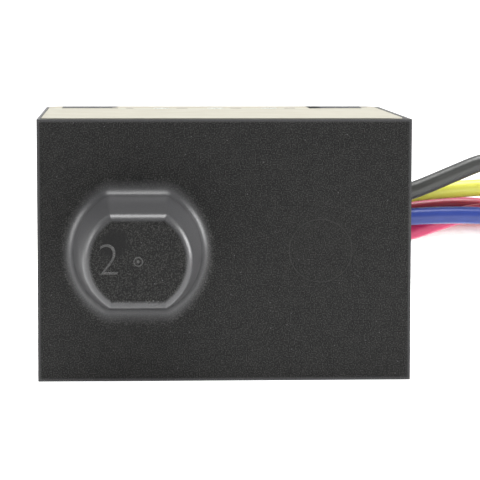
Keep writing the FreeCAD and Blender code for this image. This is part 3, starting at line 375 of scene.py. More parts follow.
def plated_metal(name, colour, shade, roughness, grain=0.3 * MM, stretch=(1.0, 1.0, 1.0)):
    """Plated or rolled metal: its gloss varies in streaks, longer along an axis with a low stretch."""
    material, tree, shader, place = new_material(name, colour, roughness, Metallic=1.0)
    along = add_node(tree, "ShaderNodeMapping", {"Vector": place, "Scale": stretch}).outputs["Vector"]
    streaks = add_node(tree, "ShaderNodeTexNoise", {"Vector": along, "Scale": 1 / grain, "Detail": 3.0})
    streaks = streaks.outputs["Fac"]
    tree.links.new(shaded(tree, streaks, 0.3, 0.75, 0.6, colour, shade), shader.inputs["Base Color"])
    vary_gloss(tree, shader, streaks, roughness - 0.06, roughness + 0.12)
    bump = add_node(tree, "ShaderNodeBump", {"Height": streaks, "Distance": 0.01 * MM})
    tree.links.new(bump.outputs["Normal"], shader.inputs["Normal"])
    return material


def plain_coat(name, colour, shade, roughness, grain, **sockets):
    """A coating, lacquer, film or moulding with soft colour changes and a fine surface."""
    material, tree, shader, place = new_material(name, colour, roughness, **sockets)
    clouds = add_node(tree, "ShaderNodeTexNoise", {"Vector": place, "Scale": 1 / grain, "Detail": 3.0})
    clouds = clouds.outputs["Fac"]
    tree.links.new(shaded(tree, clouds, 0.35, 0.7, 1.0, colour, shade), shader.inputs["Base Color"])
    vary_gloss(tree, shader, clouds, roughness - 0.04, roughness + 0.06)
    fine = add_node(tree, "ShaderNodeTexNoise", {"Vector": place, "Scale": 6 / grain, "Detail": 2.0})
    bump = add_node(tree, "ShaderNodeBump", {"Height": fine.outputs["Fac"], "Distance": 0.015 * MM})
    tree.links.new(bump.outputs["Normal"], shader.inputs["Normal"])
    return material


# The raised marks and grains on the stub's end are painted paler than the moulding round them, as a painted
# highlight where light catches their edges.
mark_plastic_painted_highlight = moulded_plastic("rubbed_black_pbt", "#2E2E2E", "#4C4C4A", 0.2 * MM, 0.34, 0.5)
# Screen-printed black ink: matt and thin on the label's film.
black_ink = plain_coat("black_screen_ink", "#26262A", "#303034", 0.6, 1.5 * MM)
# Each finish by its slot in the record.
SLOT_MATERIALS = {
    # Nearly black, with a fine grain that greys it, a glossier stub, and painted sheen and highlights that
    # make the stub, the rounded edges and the pin's ring paler.
    "black_moulded_case": case_plastic(),
    # The plate comes from a second mould with a slightly finer texture.
    "black_base_plate": moulded_plastic("black_pbt_base_plate", "#19191B", "#29292B", 0.2 * MM),
    # Closed-cell foam: dull and dark.
    "gasket_rubber": plain_coat("black_epdm_foam", "#121212", "#1E1E1E", 0.85, 0.8 * MM),
    # Bright zinc plate over steel: pale grey with a soft gloss.
    "zinc_screw": plated_metal("bright_zinc_plate", "#C9CCCF", "#A9ADB2", 0.28),
    # Cream polyester film with a satin overlaminate: even and almost without shine.
    "cream_label": plain_coat("cream_polyester_label", "#A09D91", "#9C998D", 0.7, 9.0 * MM,
                              Specular_IOR_Level=0.15),
    # Clear polycarbonate: smooth and glassy.
    "clear_lens": plain_coat("clear_polycarbonate", "#DDE6E0", "#D2DDD6", 0.12, 2.0 * MM,
                             Transmission_Weight=0.6),
    # Tinted epoxy of a lamp that is off: a glossy mid green.
    "green_lamp": plain_coat("green_tinted_epoxy", "#58B85F", "#4AA552", 0.18, 1.0 * MM),
    # Black nylon: a little glossier than the case.
    "nylon_bushing": moulded_plastic("black_nylon_66", "#151516", "#242426", 0.18 * MM, 0.38, 0.45),
    # Solder mask over glass laminate: deep green, level and glossy.
    "circuit_board": plain_coat("green_solder_mask", "#0F4A2B", "#0B3D24", 0.3, 3.0 * MM),
    # Dark unpolished moulding, duller than the case.
    "inner_moulding": moulded_plastic("dark_pbt_inner", "#1B1B1D", "#2C2C2E", 0.2 * MM),
    # Blue epoxy powder coat over the varistor's ceramic: satin, with a slight orange peel.
    "varistor_ceramic": plain_coat("blue_epoxy_powder_coat", "#2A4BA0", "#23418E", 0.45, 1.5 * MM),
    # Tin over copper: pale, warm grey and a little dull.
    "tinned_copper": plated_metal("matt_tin_plate", "#CFCDC8", "#B4B2AC", 0.38, 0.25 * MM),
    # Rolled brass strip: straw yellow, with streaks along Z.
    "tinned_brass": plated_metal("rolled_brass_strip", "#CDB574", "#B39A58", 0.3, 0.3 * MM, (1, 1, 0.15)),
    # Nickel over steel: cool grey and the brightest of the metals.
    "spring_steel": plated_metal("nickel_plated_steel", "#B9BBBE", "#96999D", 0.26, 0.3 * MM, (1, 1, 0.2)),
    # Glazed ceramic tube: warm white with a clear gloss.
    "fuse_ceramic": plain_coat("white_fuse_ceramic", "#EDE9DF", "#E2DDD0", 0.3, 1.5 * MM),
    # Epoxy-filled box: ochre yellow and smooth.
    "capacitor_case": plain_coat("yellow_epoxy_box", "#C9A136", "#B88F2B", 0.3, 1.5 * MM),
    # Enamelled wire: red-brown with a soft metallic glint.
    "coil_winding": plain_coat("enamelled_copper_winding", "#9A4A22", "#7E3917", 0.28, 0.4 * MM,
                               Metallic=0.6),
    # Black nylon strap: a fine grain and a fair gloss.
    "tie_strap": moulded_plastic("black_nylon_tie", "#131314", "#222224", 0.15 * MM, 0.33, 0.5),
    # PVC in six colours, all with the satin gloss that extrusion leaves. The black is a dark grey.
    "lead_insulation_black": pvc_insulation("black_pvc_insulation", "#3A3B39", "#2F302E", 0.36),
    "lead_insulation_yellow": pvc_insulation("yellow_pvc_insulation", "#E9E75F", "#DFDB52"),
    "lead_insulation_red": pvc_insulation("crimson_pvc_insulation", "#A5395A", "#94304F"),
    "lead_insulation_blue": pvc_insulation("blue_pvc_insulation", "#2A3F8E", "#24387F"),
    "lead_insulation_pink": pvc_insulation("rose_pvc_insulation", "#CC3466", "#BE2C5B"),
    "lead_insulation_white": pvc_insulation("white_pvc_insulation", "#F4EFEC", "#EAE4E0"),
}


# ---- Mesh helpers -------------------------------------------------------------------------------

def new_piece(name, mesh, slot_name, body=BODY):
    """A finished piece at the origin that rides on a body and takes its slot's material."""
    piece = bpy.data.objects.new(name, mesh)
    bpy.context.scene.collection.objects.link(piece)
    if not mesh.materials:
        mesh.materials.append(SLOT_MATERIALS[slot_name])
    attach(piece, body)
    return piece


def loft(rings, close_first=True, close_last=True):
    """A mesh through rings of equal length, in order, with flat ends where they are closed."""
    shape = bmesh.new()
    loops = [[shape.verts.new(point) for point in ring] for ring in rings]
    for lower, upper in zip(loops, loops[1:]):
        for index in range(len(lower)):
            after = (index + 1) % len(lower)
            shape.faces.new((lower[index], lower[after], upper[after], upper[index]))
    if close_first:
        shape.faces.new(list(reversed(loops[0])))
    if close_last:
        shape.faces.new(loops[-1])
    bmesh.ops.recalc_face_normals(shape, faces=shape.faces)
    return shape


def mesh_from(shape, name):
    mesh = bpy.data.meshes.new(name)
    shape.to_mesh(mesh)
    shape.free()
    return mesh


def box_shape(low, high):
    ring = [(low[0], low[1]), (high[0], low[1]), (high[0], high[1]), (low[0], high[1])]
    return loft([[Vector((x, y, z)) for x, y in ring] for z in (low[2], high[2])])


def rod_shape(centre, axis, radius, start, end, count=64):
    """A solid rod along X, Y or Z, from one place on that axis to another."""
    rings = []
    for level in (start, end):
        ring = []
        for index in range(count):
            angle = 2 * math.pi * index / count
            across, along = radius * math.cos(angle), radius * math.sin(angle)
            if axis == "x":
                ring.append(Vector((level, centre.y + across, centre.z + along)))
            elif axis == "y":
                ring.append(Vector((centre.x + across, level, centre.z + along)))
            else:
                ring.append(Vector((centre.x + across, centre.y + along, level)))
        rings.append(ring)
    return loft(rings)


def turned(profile, count, centre, axis="z"):
    """The rings of a turned shape, one for each (radius, height) point, for loft to join."""
    rings = []
    for radius, height in profile:
        ring = []
        for index in range(count):
            angle = 2 * math.pi * index / count
            across, along = radius * math.cos(angle), radius * math.sin(angle)
            if axis == "x":
                ring.append(centre + Vector((height, across, along)))
            else:
                ring.append(centre + Vector((across, along, height)))
        rings.append(ring)
    return rings


def evaluated_mesh(item, name):
    """The object's mesh after its modifiers, with the modifiers then removed."""
    bpy.context.view_layer.update()
    shown = item.evaluated_get(bpy.context.evaluated_depsgraph_get())
    mesh = bpy.data.meshes.new_from_object(shown)
    mesh.name = name
    item.modifiers.clear()
    return mesh


def temporary(mesh):
    item = bpy.data.objects.new("temporary", mesh)
    bpy.context.scene.collection.objects.link(item)
    return item


def discard(*items):
    for item in items:
        bpy.data.objects.remove(item)


def with_cuts(shape, cutters, name, edge_round=0.0):
    """The shape as a mesh, its square edges rounded if asked, with each cutter taken out of it."""
    item = temporary(mesh_from(shape, "uncut"))
    if edge_round:
        rounded = item.modifiers.new("edges", "BEVEL")
        rounded.width = edge_round
        rounded.segments = 4
        rounded.limit_method = "ANGLE"
        rounded.angle_limit = math.radians(60)
    tools = [temporary(mesh_from(cutter, "cutter")) for cutter in cutters]
    for tool in tools:
        cut = item.modifiers.new("cut", "BOOLEAN")
        cut.operation = "DIFFERENCE"
        cut.solver = "EXACT"
        cut.object = tool
    mesh = evaluated_mesh(item, name)
    discard(item, *tools)
    return mesh


def finish_shading(mesh, degrees=32):
    """Smooth faces, with creases where two faces meet at more than that angle."""
    for polygon in mesh.polygons:
        polygon.use_smooth = True
    mesh.set_sharp_from_angle(angle=math.radians(degrees))
    item = temporary(mesh)
    weighted = item.modifiers.new("weighted", "WEIGHTED_NORMAL")
    weighted.keep_sharp = True
    weighted.weight = 80
    finished = evaluated_mesh(item, mesh.name)
    discard(item)
    return finished


def node_tree(name, inputs):
    """A Geometry Nodes tree with named inputs, each a number or a kind of socket, and a finish."""
    tree = bpy.data.node_groups.new(name, "GeometryNodeTree")
    for label, start in {**inputs, "Finish": "Material"}.items():
        kind = start if isinstance(start, str) else {int: "Int", float: "Float"}[type(start)]
        socket = tree.interface.new_socket(label, in_out="INPUT", socket_type=f"NodeSocket{kind}")
        if kind != start:
            socket.default_value = start
    tree.interface.new_socket("Geometry", in_out="OUTPUT", socket_type="NodeSocketGeometry")
    return tree, add_node(tree, "NodeGroupInput").outputs


def finish_tree(tree, placed, finish):
    """Makes a tree's instances real, gives them their finish and sends them to its output."""
    real = add_node(tree, "GeometryNodeRealizeInstances", {"Geometry": placed.outputs[0]})
    painted = add_node(tree, "GeometryNodeSetMaterial", {"Geometry": real.outputs[0], "Material": finish})
    result = add_node(tree, "NodeGroupOutput")
    tree.links.new(painted.outputs[0], result.inputs[0])
    return tree


def grown(tree, name, values):
    """The mesh that a Geometry Nodes tree makes from named input values."""
    item = temporary(bpy.data.meshes.new(name))
    modifier = item.modifiers.new("nodes", "NODES")
    modifier.node_group = tree
    for socket in tree.interface.items_tree:
        if socket.in_out == "INPUT" and socket.name in values:
            modifier[socket.identifier] = values[socket.name]
    mesh = evaluated_mesh(item, name)
    discard(item)
    return mesh


# ---- Case moulding ------------------------------------------------------------------------------

def lens_holes(bottom, top):
    """Cutters for the light pipes' round holes, a hair wider than the pipes."""
    holes = []
    for lens in LENSES:
        low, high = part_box(lens)
        radius = (high.x - low.x) / 2 + LENS_GAP
        holes.append(rod_shape((low + high) / 2, "z", radius, bottom, top, 48))
    return holes


def double_d(growth, level, radius=STUB_RADIUS, flat=STUB_FLAT, corner=STUB_CORNER):
    """The stub's outline grown outwards by an amount: round sides, flats and rounded corners."""
    inner_radius = radius - corner
    inner_flat = flat - corner
    inner_reach = math.sqrt(inner_radius ** 2 - inner_flat ** 2)
    turn = math.atan2(inner_flat, inner_reach)
    quarter = []
    side_steps, corner_steps, flat_steps = 14, 7, 4
    for index in range(side_steps):
        angle = turn * index / side_steps
        quarter.append(((radius + growth) * math.cos(angle), (radius + growth) * math.sin(angle)))
    for index in range(corner_steps):
        angle = turn + (math.pi / 2 - turn) * index / corner_steps
        quarter.append((inner_reach + (corner + growth) * math.cos(angle),
                        inner_flat + (corner + growth) * math.sin(angle)))
    for index in range(flat_steps):
        quarter.append((inner_reach * (1 - index / flat_steps), flat + growth))
    mirrored = [(-x, z) for x, z in reversed(quarter[1:])]
    half = quarter + [(0.0, flat + growth)] + mirrored
    lower = [(-x, -z) for x, z in half]
    outline = half + lower
    if growth > 0:
        stretch = (flat + growth * FOOT_STRETCH) / (flat + growth)
        outline = [(x, z * stretch) for x, z in outline]
    return [Vector((STUB_CENTRE.x + x, level, STUB_CENTRE.z + z)) for x, z in outline]


def stub_profile():
    """(growth, distance out of the case) from the foot to the tip: fillet, drafted side, rounded end."""
    lean = STUB_DRAFT
    points = []
    foot = STUB_FOOT_ROUND
    foot_centre = foot * (1 - math.sin(lean)) / math.cos(lean)
    steps = 12
    for index in range(steps + 1):
        angle = -math.pi / 2 - (math.pi / 2 - lean) * index / steps
        points.append((foot_centre + foot * math.cos(angle), foot + foot * math.sin(angle)))
    tip = STUB_TIP_ROUND
    reach = STUB_REACH - MARK_HEIGHT
    tip_centre = (-tip - (reach - tip) * math.sin(lean)) / math.cos(lean)
    start = points[-1]
    end = (tip_centre + tip * math.cos(lean), reach - tip + tip * math.sin(lean))
    for index in range(1, 6):
        share = index / 6
        points.append((start[0] + (end[0] - start[0]) * share, start[1] + (end[1] - start[1]) * share))
    for index in range(9):
        angle = lean + (math.pi / 2 - lean) * index / 8
        points.append((tip_centre + tip * math.cos(angle), reach - tip + tip * math.sin(angle)))
    return points


def rectangle_ring(foot_ring, level):
    """The case's front rectangle, with one point out along the ray through each point of the foot."""
    low = Vector((-CASE_HALF_WIDTH, 0.0))
    high = Vector((CASE_HALF_WIDTH, CASE_HEIGHT))
    ring = []
    for point in foot_ring:
        ray = Vector((point.x - STUB_CENTRE.x, point.z - STUB_CENTRE.z)).normalized()
        reaches = []
        for direction, centre, first, last in ((ray.x, STUB_CENTRE.x, low.x, high.x),
                                               (ray.y, STUB_CENTRE.z, low.y, high.y)):
            if abs(direction) > 1e-9:
                reaches.append(((last if direction > 0 else first) - centre) / direction)
        reach = min(reaches)
        ring.append(Vector((STUB_CENTRE.x + ray.x * reach, level, STUB_CENTRE.z + ray.y * reach)))
    for corner in ((low.x, low.y), (high.x, low.y), (high.x, high.y), (low.x, high.y)):
        spot = Vector((corner[0], level, corner[1]))
        nearest = min(ring, key=lambda point: (point - spot).length)
        ring[ring.index(nearest)] = spot
    return ring


def groove_shape(centre, radius, line, depth, count=96):
    """A square-edged ring round an axis along Y, to cut a groove with or to stand on a face."""
    corners = [(radius, -depth), (radius, depth), (radius - line, depth), (radius - line, -depth),
               (radius, -depth)]
    rings = []
    for reach, out in corners:
        ring = []
        for step in range(count):
            angle = 2 * math.pi * step / count
            ring.append(centre + Vector((reach * math.cos(angle), out, reach * math.sin(angle))))
        rings.append(ring)
    groove = loft(rings, False, False)
    bmesh.ops.remove_doubles(groove, verts=groove.verts, dist=1e-7)
    bmesh.ops.recalc_face_normals(groove, faces=groove.faces)
    return groove


# The posts inside the case, four of each kind: X and Y of their centres, the radius, the screw
# hole's radius and the height at which they start.
CASE_POSTS = [
    (31.0 * MM, 25.3 * MM, 3.3 * MM, 1.45 * MM, RABBET_DEPTH),
    (20.0 * MM, 25.3 * MM, 2.4 * MM, 1.0 * MM, 41.6 * MM),
]
BUSHING_HOLE = 8.75 * MM


def make_case():
    """One moulding: rounded box, drafted stub with a foot fillet, hollow inside, open underneath."""
    profile = stub_profile()
    rings = [double_d(growth, STUB_CENTRE.y - out) for growth, out in profile]
    rings.reverse()
    front = rectangle_ring(rings[-1], STUB_CENTRE.y)
    back = [Vector((point.x, CASE_HALF_DEPTH, point.z)) for point in front]
    outside = loft(rings + [front, back])

    inside = CASE_HALF_WIDTH - WALL, CASE_HALF_DEPTH - WALL
    rabbet = inside[0] + RABBET_STEP, inside[1] + RABBET_STEP
    ceiling = CASE_HEIGHT - WALL
    core_start = -CASE_HALF_DEPTH + WALL + CUT_SPARE
    core_end = STUB_TIP_Y + STUB_WALL
    core_rings = []
    for level in (core_start, core_end):
        growth = -STUB_WALL - (core_start - level) * math.tan(STUB_DRAFT)
        core_rings.append(double_d(growth, level))
    cutters = [
        box_shape((-inside[0], -inside[1], -CUT_SPARE), (inside[0], inside[1], ceiling)),
        box_shape((-rabbet[0], -rabbet[1], -2 * CUT_SPARE), (rabbet[0], rabbet[1], RABBET_DEPTH)),
        loft(core_rings),
        rod_shape(BUSHING_CENTRE, "x", BUSHING_HOLE, inside[0] - CUT_SPARE, CASE_HALF_WIDTH + CUT_SPARE),
        groove_shape(WITNESS_CENTRE, WITNESS_RADIUS, WITNESS_LINE, WITNESS_DEPTH),
    ]
    cutters += lens_holes(ceiling - CUT_SPARE, CASE_HEIGHT + CUT_SPARE)
    mesh = with_cuts(outside, cutters, "case_moulding", EDGE_ROUND)

    shape = bmesh.new()
    shape.from_mesh(mesh)
    for x, y, radius, hole, foot in CASE_POSTS:
        for side_x in (-1, 1):
            for side_y in (-1, 1):
                # Each post is open at its top, which is buried in the ceiling.
                top = ceiling + 0.5 * MM
                profile = [(hole, top), (hole, foot), (radius, foot), (radius, top)]
                rings = turned(profile, 32, Vector((side_x * x, side_y * y, 0)))
                post = mesh_from(loft(rings, False, False), "post")
                shape.from_mesh(post)
                bpy.data.meshes.remove(post)
    mesh.clear_geometry()
    shape.to_mesh(mesh)
    shape.free()
    piece = new_piece("case_moulding", finish_shading(mesh), "black_moulded_case")
    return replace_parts(piece, "housing_shell")


def grain_tree():
    """Geometry Nodes: small flat grains scattered over a rectangle in the XZ plane."""
    tree, given = node_tree("mould_grains", {"Width": 0.006, "Depth": 0.001, "Density": 2e6,
                                             "Grain Radius": 0.0001, "Seed": 4})
    field = add_node(tree, "GeometryNodeMeshGrid", {"Size X": given["Width"], "Size Y": given["Depth"]})
    spots = add_node(tree, "GeometryNodeDistributePointsOnFaces", {
        "Mesh": field.outputs[0], "Density": given["Density"], "Seed": given["Seed"]})
    grain = add_node(tree, "GeometryNodeMeshIcoSphere", {"Radius": given["Grain Radius"], "Subdivisions": 2})
    flat = add_node(tree, "GeometryNodeTransform", {"Geometry": grain.outputs[0], "Scale": (1.0, 1.0, 0.25)})
    share = add_node(tree, "FunctionNodeRandomValue", {2: 0.5, 3: 1.0, "Seed": given["Seed"]},
                     data_type="FLOAT").outputs[1]
    placed = add_node(tree, "GeometryNodeInstanceOnPoints", {
        "Points": spots.outputs[0], "Instance": flat.outputs[0], "Scale": share})
    return finish_tree(tree, placed, given["Finish"])


def make_mould_marks():
    """On the stub's end: a thin cavity number, a ring and dot at the gate, and a few grains low down."""
    ring_radius, ring_line, dot_radius = 0.95 * MM, 0.22 * MM, 0.3 * MM
    number_place = Vector((-5.7, 0, 0.1)) * MM
    grains_place = Vector((0, MARK_HEIGHT * 1.1, -8.0 * MM))
    curve = bpy.data.curves.new("cavity_number", "FONT")
    curve.body = "2"
    curve.size = 9.0 * MM
    curve.offset = -0.19 * MM
    curve.extrude = MARK_HEIGHT / 2
    curve.align_x = "CENTER"
    curve.align_y = "CENTER"
    item = bpy.data.objects.new("cavity_number", curve)
    bpy.context.scene.collection.objects.link(item)
    number = evaluated_mesh(item, "cavity_number")
    discard(item)
    upright = Matrix.Rotation(math.pi / 2, 4, "X")
    middle = TIP_CENTRE + Vector((0, MARK_HEIGHT / 2, 0))
    number.transform(Matrix.Translation(middle + number_place) @ upright)

    ring_centre = TIP_CENTRE + Vector((0, MARK_HEIGHT, 0))
    ring = mesh_from(groove_shape(ring_centre, ring_radius, ring_line, MARK_HEIGHT, 32), "gate_ring")
    dot = mesh_from(rod_shape(TIP_CENTRE, "y", dot_radius, TIP_CENTRE.y, TIP_CENTRE.y + MARK_HEIGHT, 16),
                    "gate_dot")
    grains = grown(grain_tree(), "grains", {"Width": 9.0 * MM, "Depth": 0.9 * MM, "Density": 2.6e6,
                                            "Grain Radius": 0.16 * MM, "Seed": 4, "Finish": mark_plastic_painted_highlight})
    grains.transform(Matrix.Translation(TIP_CENTRE + grains_place) @ upright)
    whole = bmesh.new()
    for mesh in (number, ring, dot, grains):
        whole.from_mesh(mesh)
        bpy.data.meshes.remove(mesh)
    marks = mesh_from(whole, "mould_marks")
    # The marks take the paler material that carries their painted highlight.
    marks.materials.clear()
    marks.materials.append(mark_plastic_painted_highlight)
    return new_piece("mould_marks", marks, "black_moulded_case")


# ---- Label, lamps, bushing and base --------------------------------------------------------------

INK_THICK = 0.02 * MM
LABEL_CORNER = 3.0 * MM


def rounded_rectangle(low_x, high_x, low_y, high_y, corner, steps=8):
    """Points anticlockwise round a flat rectangle with rounded corners."""
    corners = [(high_x - corner, high_y - corner, 0), (low_x + corner, high_y - corner, 90),
               (low_x + corner, low_y + corner, 180), (high_x - corner, low_y + corner, 270)]
    points = []
    for x, y, start in corners:
        for index in range(steps + 1):
            angle = math.radians(start + 90 * index / steps)
            points.append((x + corner * math.cos(angle), y + corner * math.sin(angle)))
    return points


def make_label():
    """A die-cut label with rounded corners and three round windows for the lamps."""
    outline = rounded_rectangle(label_low.x, label_high.x, label_low.y, label_high.y, LABEL_CORNER)
    sheet = loft([[Vector((x, y, z)) for x, y in outline] for z in (label_low.z, label_high.z - INK_THICK)])
    windows = lens_holes(label_low.z - CUT_SPARE, label_high.z + CUT_SPARE)
    piece = new_piece("printed_label", with_cuts(sheet, windows, "printed_label"), "cream_label")
    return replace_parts(piece, "top_label")


def printed_tree():
    """Geometry Nodes: rows of flat printed bars of uneven length, all starting at X = 0."""
    tree, given = node_tree("printed_rows", {"Rows": 5, "Pitch": 0.002, "Bar Length": 0.012,
                                             "Bar Width": 0.001, "Bar Thickness": INK_THICK,
                                             "Shortest": 0.6, "Seed": 3})
    step = add_node(tree, "ShaderNodeCombineXYZ", {"Y": given["Pitch"]}).outputs[0]
    rows = add_node(tree, "GeometryNodeMeshLine", {"Count": given["Rows"], "Offset": step})
    size = add_node(tree, "ShaderNodeCombineXYZ", {"X": given["Bar Length"], "Y": given["Bar Width"],
                                                   "Z": given["Bar Thickness"]}).outputs[0]
    bar = add_node(tree, "GeometryNodeMeshCube", {"Size": size})
    half = add_node(tree, "ShaderNodeMath", {0: given["Bar Length"], 1: 0.5}, operation="MULTIPLY").outputs[0]
    shift = add_node(tree, "ShaderNodeCombineXYZ", {"X": half}).outputs[0]
    shifted = add_node(tree, "GeometryNodeTransform", {"Geometry": bar.outputs[0], "Translation": shift})
    share = add_node(tree, "FunctionNodeRandomValue", {2: given["Shortest"], 3: 1.0, "Seed": given["Seed"]},
                     data_type="FLOAT").outputs[1]
    stretch = add_node(tree, "ShaderNodeCombineXYZ", {"X": share, "Y": 1.0, "Z": 1.0}).outputs[0]
    placed = add_node(tree, "GeometryNodeInstanceOnPoints", {
        "Points": rows.outputs[0], "Instance": shifted.outputs[0], "Scale": stretch})
    return finish_tree(tree, placed, given["Finish"])


# Printed blocks: left edge, near edge, rows, pitch, bar length and bar width in millimetres, then
# the shortest bar's share of the length, and the seed.
PRINTED_BLOCKS = [
    (-34.0, 20.0, 5, 2.2, 13.0, 1.5, 0.55, 3),
    (21.0, 19.5, 4, 2.9, 13.5, 2.3, 0.82, 8),
    (21.0, 19.0, 1, 1.0, 2.6, 11.4, 1.0, 1),
    (-19.8, 19.4, 1, 1.0, 1.6, 1.2, 1.0, 1),
    (-8.6, 19.4, 1, 1.0, 2.4, 1.2, 1.0, 1),
    (3.4, 19.4, 1, 1.0, 2.4, 1.2, 1.0, 1),
    (15.4, 19.4, 1, 1.0, 2.4, 1.2, 1.0, 1),
]


def make_printing():
    """Plain printed bars that stand for the label's text and its rating table."""
    tree = printed_tree()
    ink = bpy.data.meshes.new("label_printing")
    whole = bmesh.new()
    for left, near, rows, pitch, length, width, shortest, seed in PRINTED_BLOCKS:
        mesh = grown(tree, "printed_block", {
            "Rows": rows, "Pitch": pitch * MM, "Bar Length": length * MM, "Bar Width": width * MM,
            "Bar Thickness": INK_THICK, "Shortest": shortest, "Seed": seed, "Finish": black_ink})
        mesh.transform(Matrix.Translation((left * MM, (near + width / 2) * MM, label_high.z - INK_THICK / 2)))
        whole.from_mesh(mesh)
        bpy.data.meshes.remove(mesh)
    whole.to_mesh(ink)
    whole.free()
    ink.materials.append(black_ink)
    return new_piece("label_printing", ink, "cream_label")


def make_lens(name):
    """A light pipe: a rod with a narrow chamfer and a slightly sunk, mirror-smooth top."""
    low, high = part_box(name)
    centre = Vector(((low.x + high.x) / 2, (low.y + high.y) / 2, 0))
    radius = (high.x - low.x) / 2
    edge = 0.25 * MM
    top = high.z
    profile = [(0.6 * radius, low.z), (radius - edge, low.z), (radius, low.z + edge), (radius, top - edge),
               (radius - 0.3 * edge, top - 0.3 * edge), (radius - edge, top), (0.8 * radius, top - 0.04 * MM),
               (0.4 * radius, top - 0.1 * MM)]
    mesh = finish_shading(mesh_from(loft(turned(profile, 48, centre)), f"{name}_moulding"), 40)
    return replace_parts(new_piece(f"{name}_moulding", mesh, "clear_lens"), name)


def make_bushing():
    """A snap-in bushing: a barrel and a rounded flange with a flared mouth."""
    inner_x, outer_x = bushing_low.x, bushing_high.x
    wall_x = CASE_HALF_WIDTH
    centre = Vector((0, BUSHING_CENTRE.y, BUSHING_CENTRE.z))
    flange = (bushing_high.y - bushing_low.y) / 2
    bore, barrel, mouth, curve = 7.2 * MM, 8.7 * MM, 8.4 * MM, 0.6 * MM
    profile = [(bore, inner_x), (barrel - 0.3 * MM, inner_x), (barrel, inner_x + 0.3 * MM), (barrel, wall_x),
               (flange - 0.1 * MM, wall_x), (flange, wall_x + 0.1 * MM), (flange, outer_x - curve)]
    for step in range(1, 6):
        angle = math.pi / 2 * step / 5
        profile.append((flange - curve + curve * math.cos(angle), outer_x - curve + curve * math.sin(angle)))
    for step in range(7):
        angle = math.pi / 2 * step / 6
        reach = mouth - bore
        profile.append((bore + reach - reach * math.sin(angle), outer_x - reach + reach * math.cos(angle)))
    rings = turned(profile, 96, centre, "x")
    body = loft(rings + [rings[0]], False, False)
    bmesh.ops.remove_doubles(body, verts=body.verts, dist=1e-7)
    bmesh.ops.recalc_face_normals(body, faces=body.faces)
    mesh = finish_shading(mesh_from(body, "bushing_moulding"), 40)
    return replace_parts(new_piece("bushing_moulding", mesh, "nylon_bushing"), "lead_bushing")


def make_base_screws():
    """Four countersunk screws with hexagon sockets, one mesh repeated by Geometry Nodes."""
    names = [f"base_screw_{number}" for number in (1, 2, 3, 4)]
    low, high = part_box(names[0])
    head_radius = (high.x - low.x) / 2
    top = high.z - low.z
    shank, root, cone, edge = 1.4 * MM, 1.05 * MM, 1.7 * MM, 0.12 * MM
    profile = [(head_radius - edge, 0.0), (head_radius, edge), (head_radius, 2 * edge), (shank, cone)]
    pitch = 1.1 * MM
    level = cone + 0.4 * MM
    while level + pitch < top - 1.5 * MM:
        profile += [(root, level), (root, level + 0.35 * pitch), (shank, level + 0.5 * pitch),
                    (shank, level + 0.62 * pitch)]
        level += pitch
    profile += [(root, level), (root, top - 1.0 * MM), (0.3 * MM, top)]
    solid = loft(turned(profile, 32, Vector((0, 0, 0))))
    socket = rod_shape(Vector((0, 0, 0)), "z", 1.25 * MM, -1 * MM, 1.2 * MM, 6)
    screw = temporary(finish_shading(with_cuts(solid, [socket], "screw"), 35))


    tree, given = node_tree("four_corners", {"Half X": 0.03, "Half Y": 0.025, "Foot Z": 0.0,
                                             "Item": "Object"})
    width = add_node(tree, "ShaderNodeMath", {0: given["Half X"], 1: 2.0}, operation="MULTIPLY").outputs[0]
    depth = add_node(tree, "ShaderNodeMath", {0: given["Half Y"], 1: 2.0}, operation="MULTIPLY").outputs[0]
    grid = add_node(tree, "GeometryNodeMeshGrid", {"Size X": width, "Size Y": depth, "Vertices X": 2,
                                                   "Vertices Y": 2})
    foot = add_node(tree, "ShaderNodeCombineXYZ", {"Z": given["Foot Z"]}).outputs[0]
    lifted = add_node(tree, "GeometryNodeTransform", {"Geometry": grid.outputs[0], "Translation": foot})
    item = add_node(tree, "GeometryNodeObjectInfo", {"Object": given["Item"], "As Instance": True})
    placed = add_node(tree, "GeometryNodeInstanceOnPoints", {
        "Points": lifted.outputs[0], "Instance": item.outputs["Geometry"]})
    finish_tree(tree, placed, given["Finish"])

    centre = (low + high) / 2
    mesh = grown(tree, "base_screw_set", {"Half X": abs(centre.x), "Half Y": abs(centre.y), "Foot Z": low.z,
                                          "Item": screw, "Finish": SLOT_MATERIALS["zinc_screw"]})
    discard(screw)
    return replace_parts(new_piece("base_screw_set", mesh, "zinc_screw"), *names)


# ---- Leads --------------------------------------------------------------------------------------

POINTS_PER_TURN = 24
# Past this, a route's last point is near enough to the coil that it needs no further one.
NEAR_COIL = 118 * MM
LAST_POINT = 121 * MM
STRAND_RADIUS = 0.4 * MM
# Each strand turns this far, in radians, along the bare end.
STRAND_TWIST = 2.2


def coil_point(radius, low, turns):
    """A point on a lead's centreline after so many turns, clockwise from the coil's back.

    Each turn climbs two rows between two thirds and eight ninths of the way round.
    """
    whole = math.floor(turns)
    climb = min(max((turns - whole - 2 / 3) / (8 / 9 - 2 / 3), 0), 1)
    rise = 2 * ROW_PITCH * (whole + climb * climb * (3 - 2 * climb))
    angle = math.pi / 2 - 2 * math.pi * turns
    return COIL_CENTRE + Vector((radius * math.cos(angle), radius * math.sin(angle), low + rise))


def lead_points(colour):
    """The route's own points, one more on the floor, and then the coil's turns."""
    radius, low, turns = COIL_PLACES[colour]
    points = [Vector(point) * MM for point in LEAD_ROUTES[colour]]
    if points[-1].x < NEAR_COIL:
        points.append(Vector((LAST_POINT, points[-1].y, low)))
    steps = round(turns * POINTS_PER_TURN)
    # The spline runs a little inside its points, so they stand that much further out.
    wide = radius * 2 / (1 + math.cos(math.pi / POINTS_PER_TURN))
    for index in range(steps + 1):
        points.append(coil_point(wide, low, turns * index / steps))
    return points


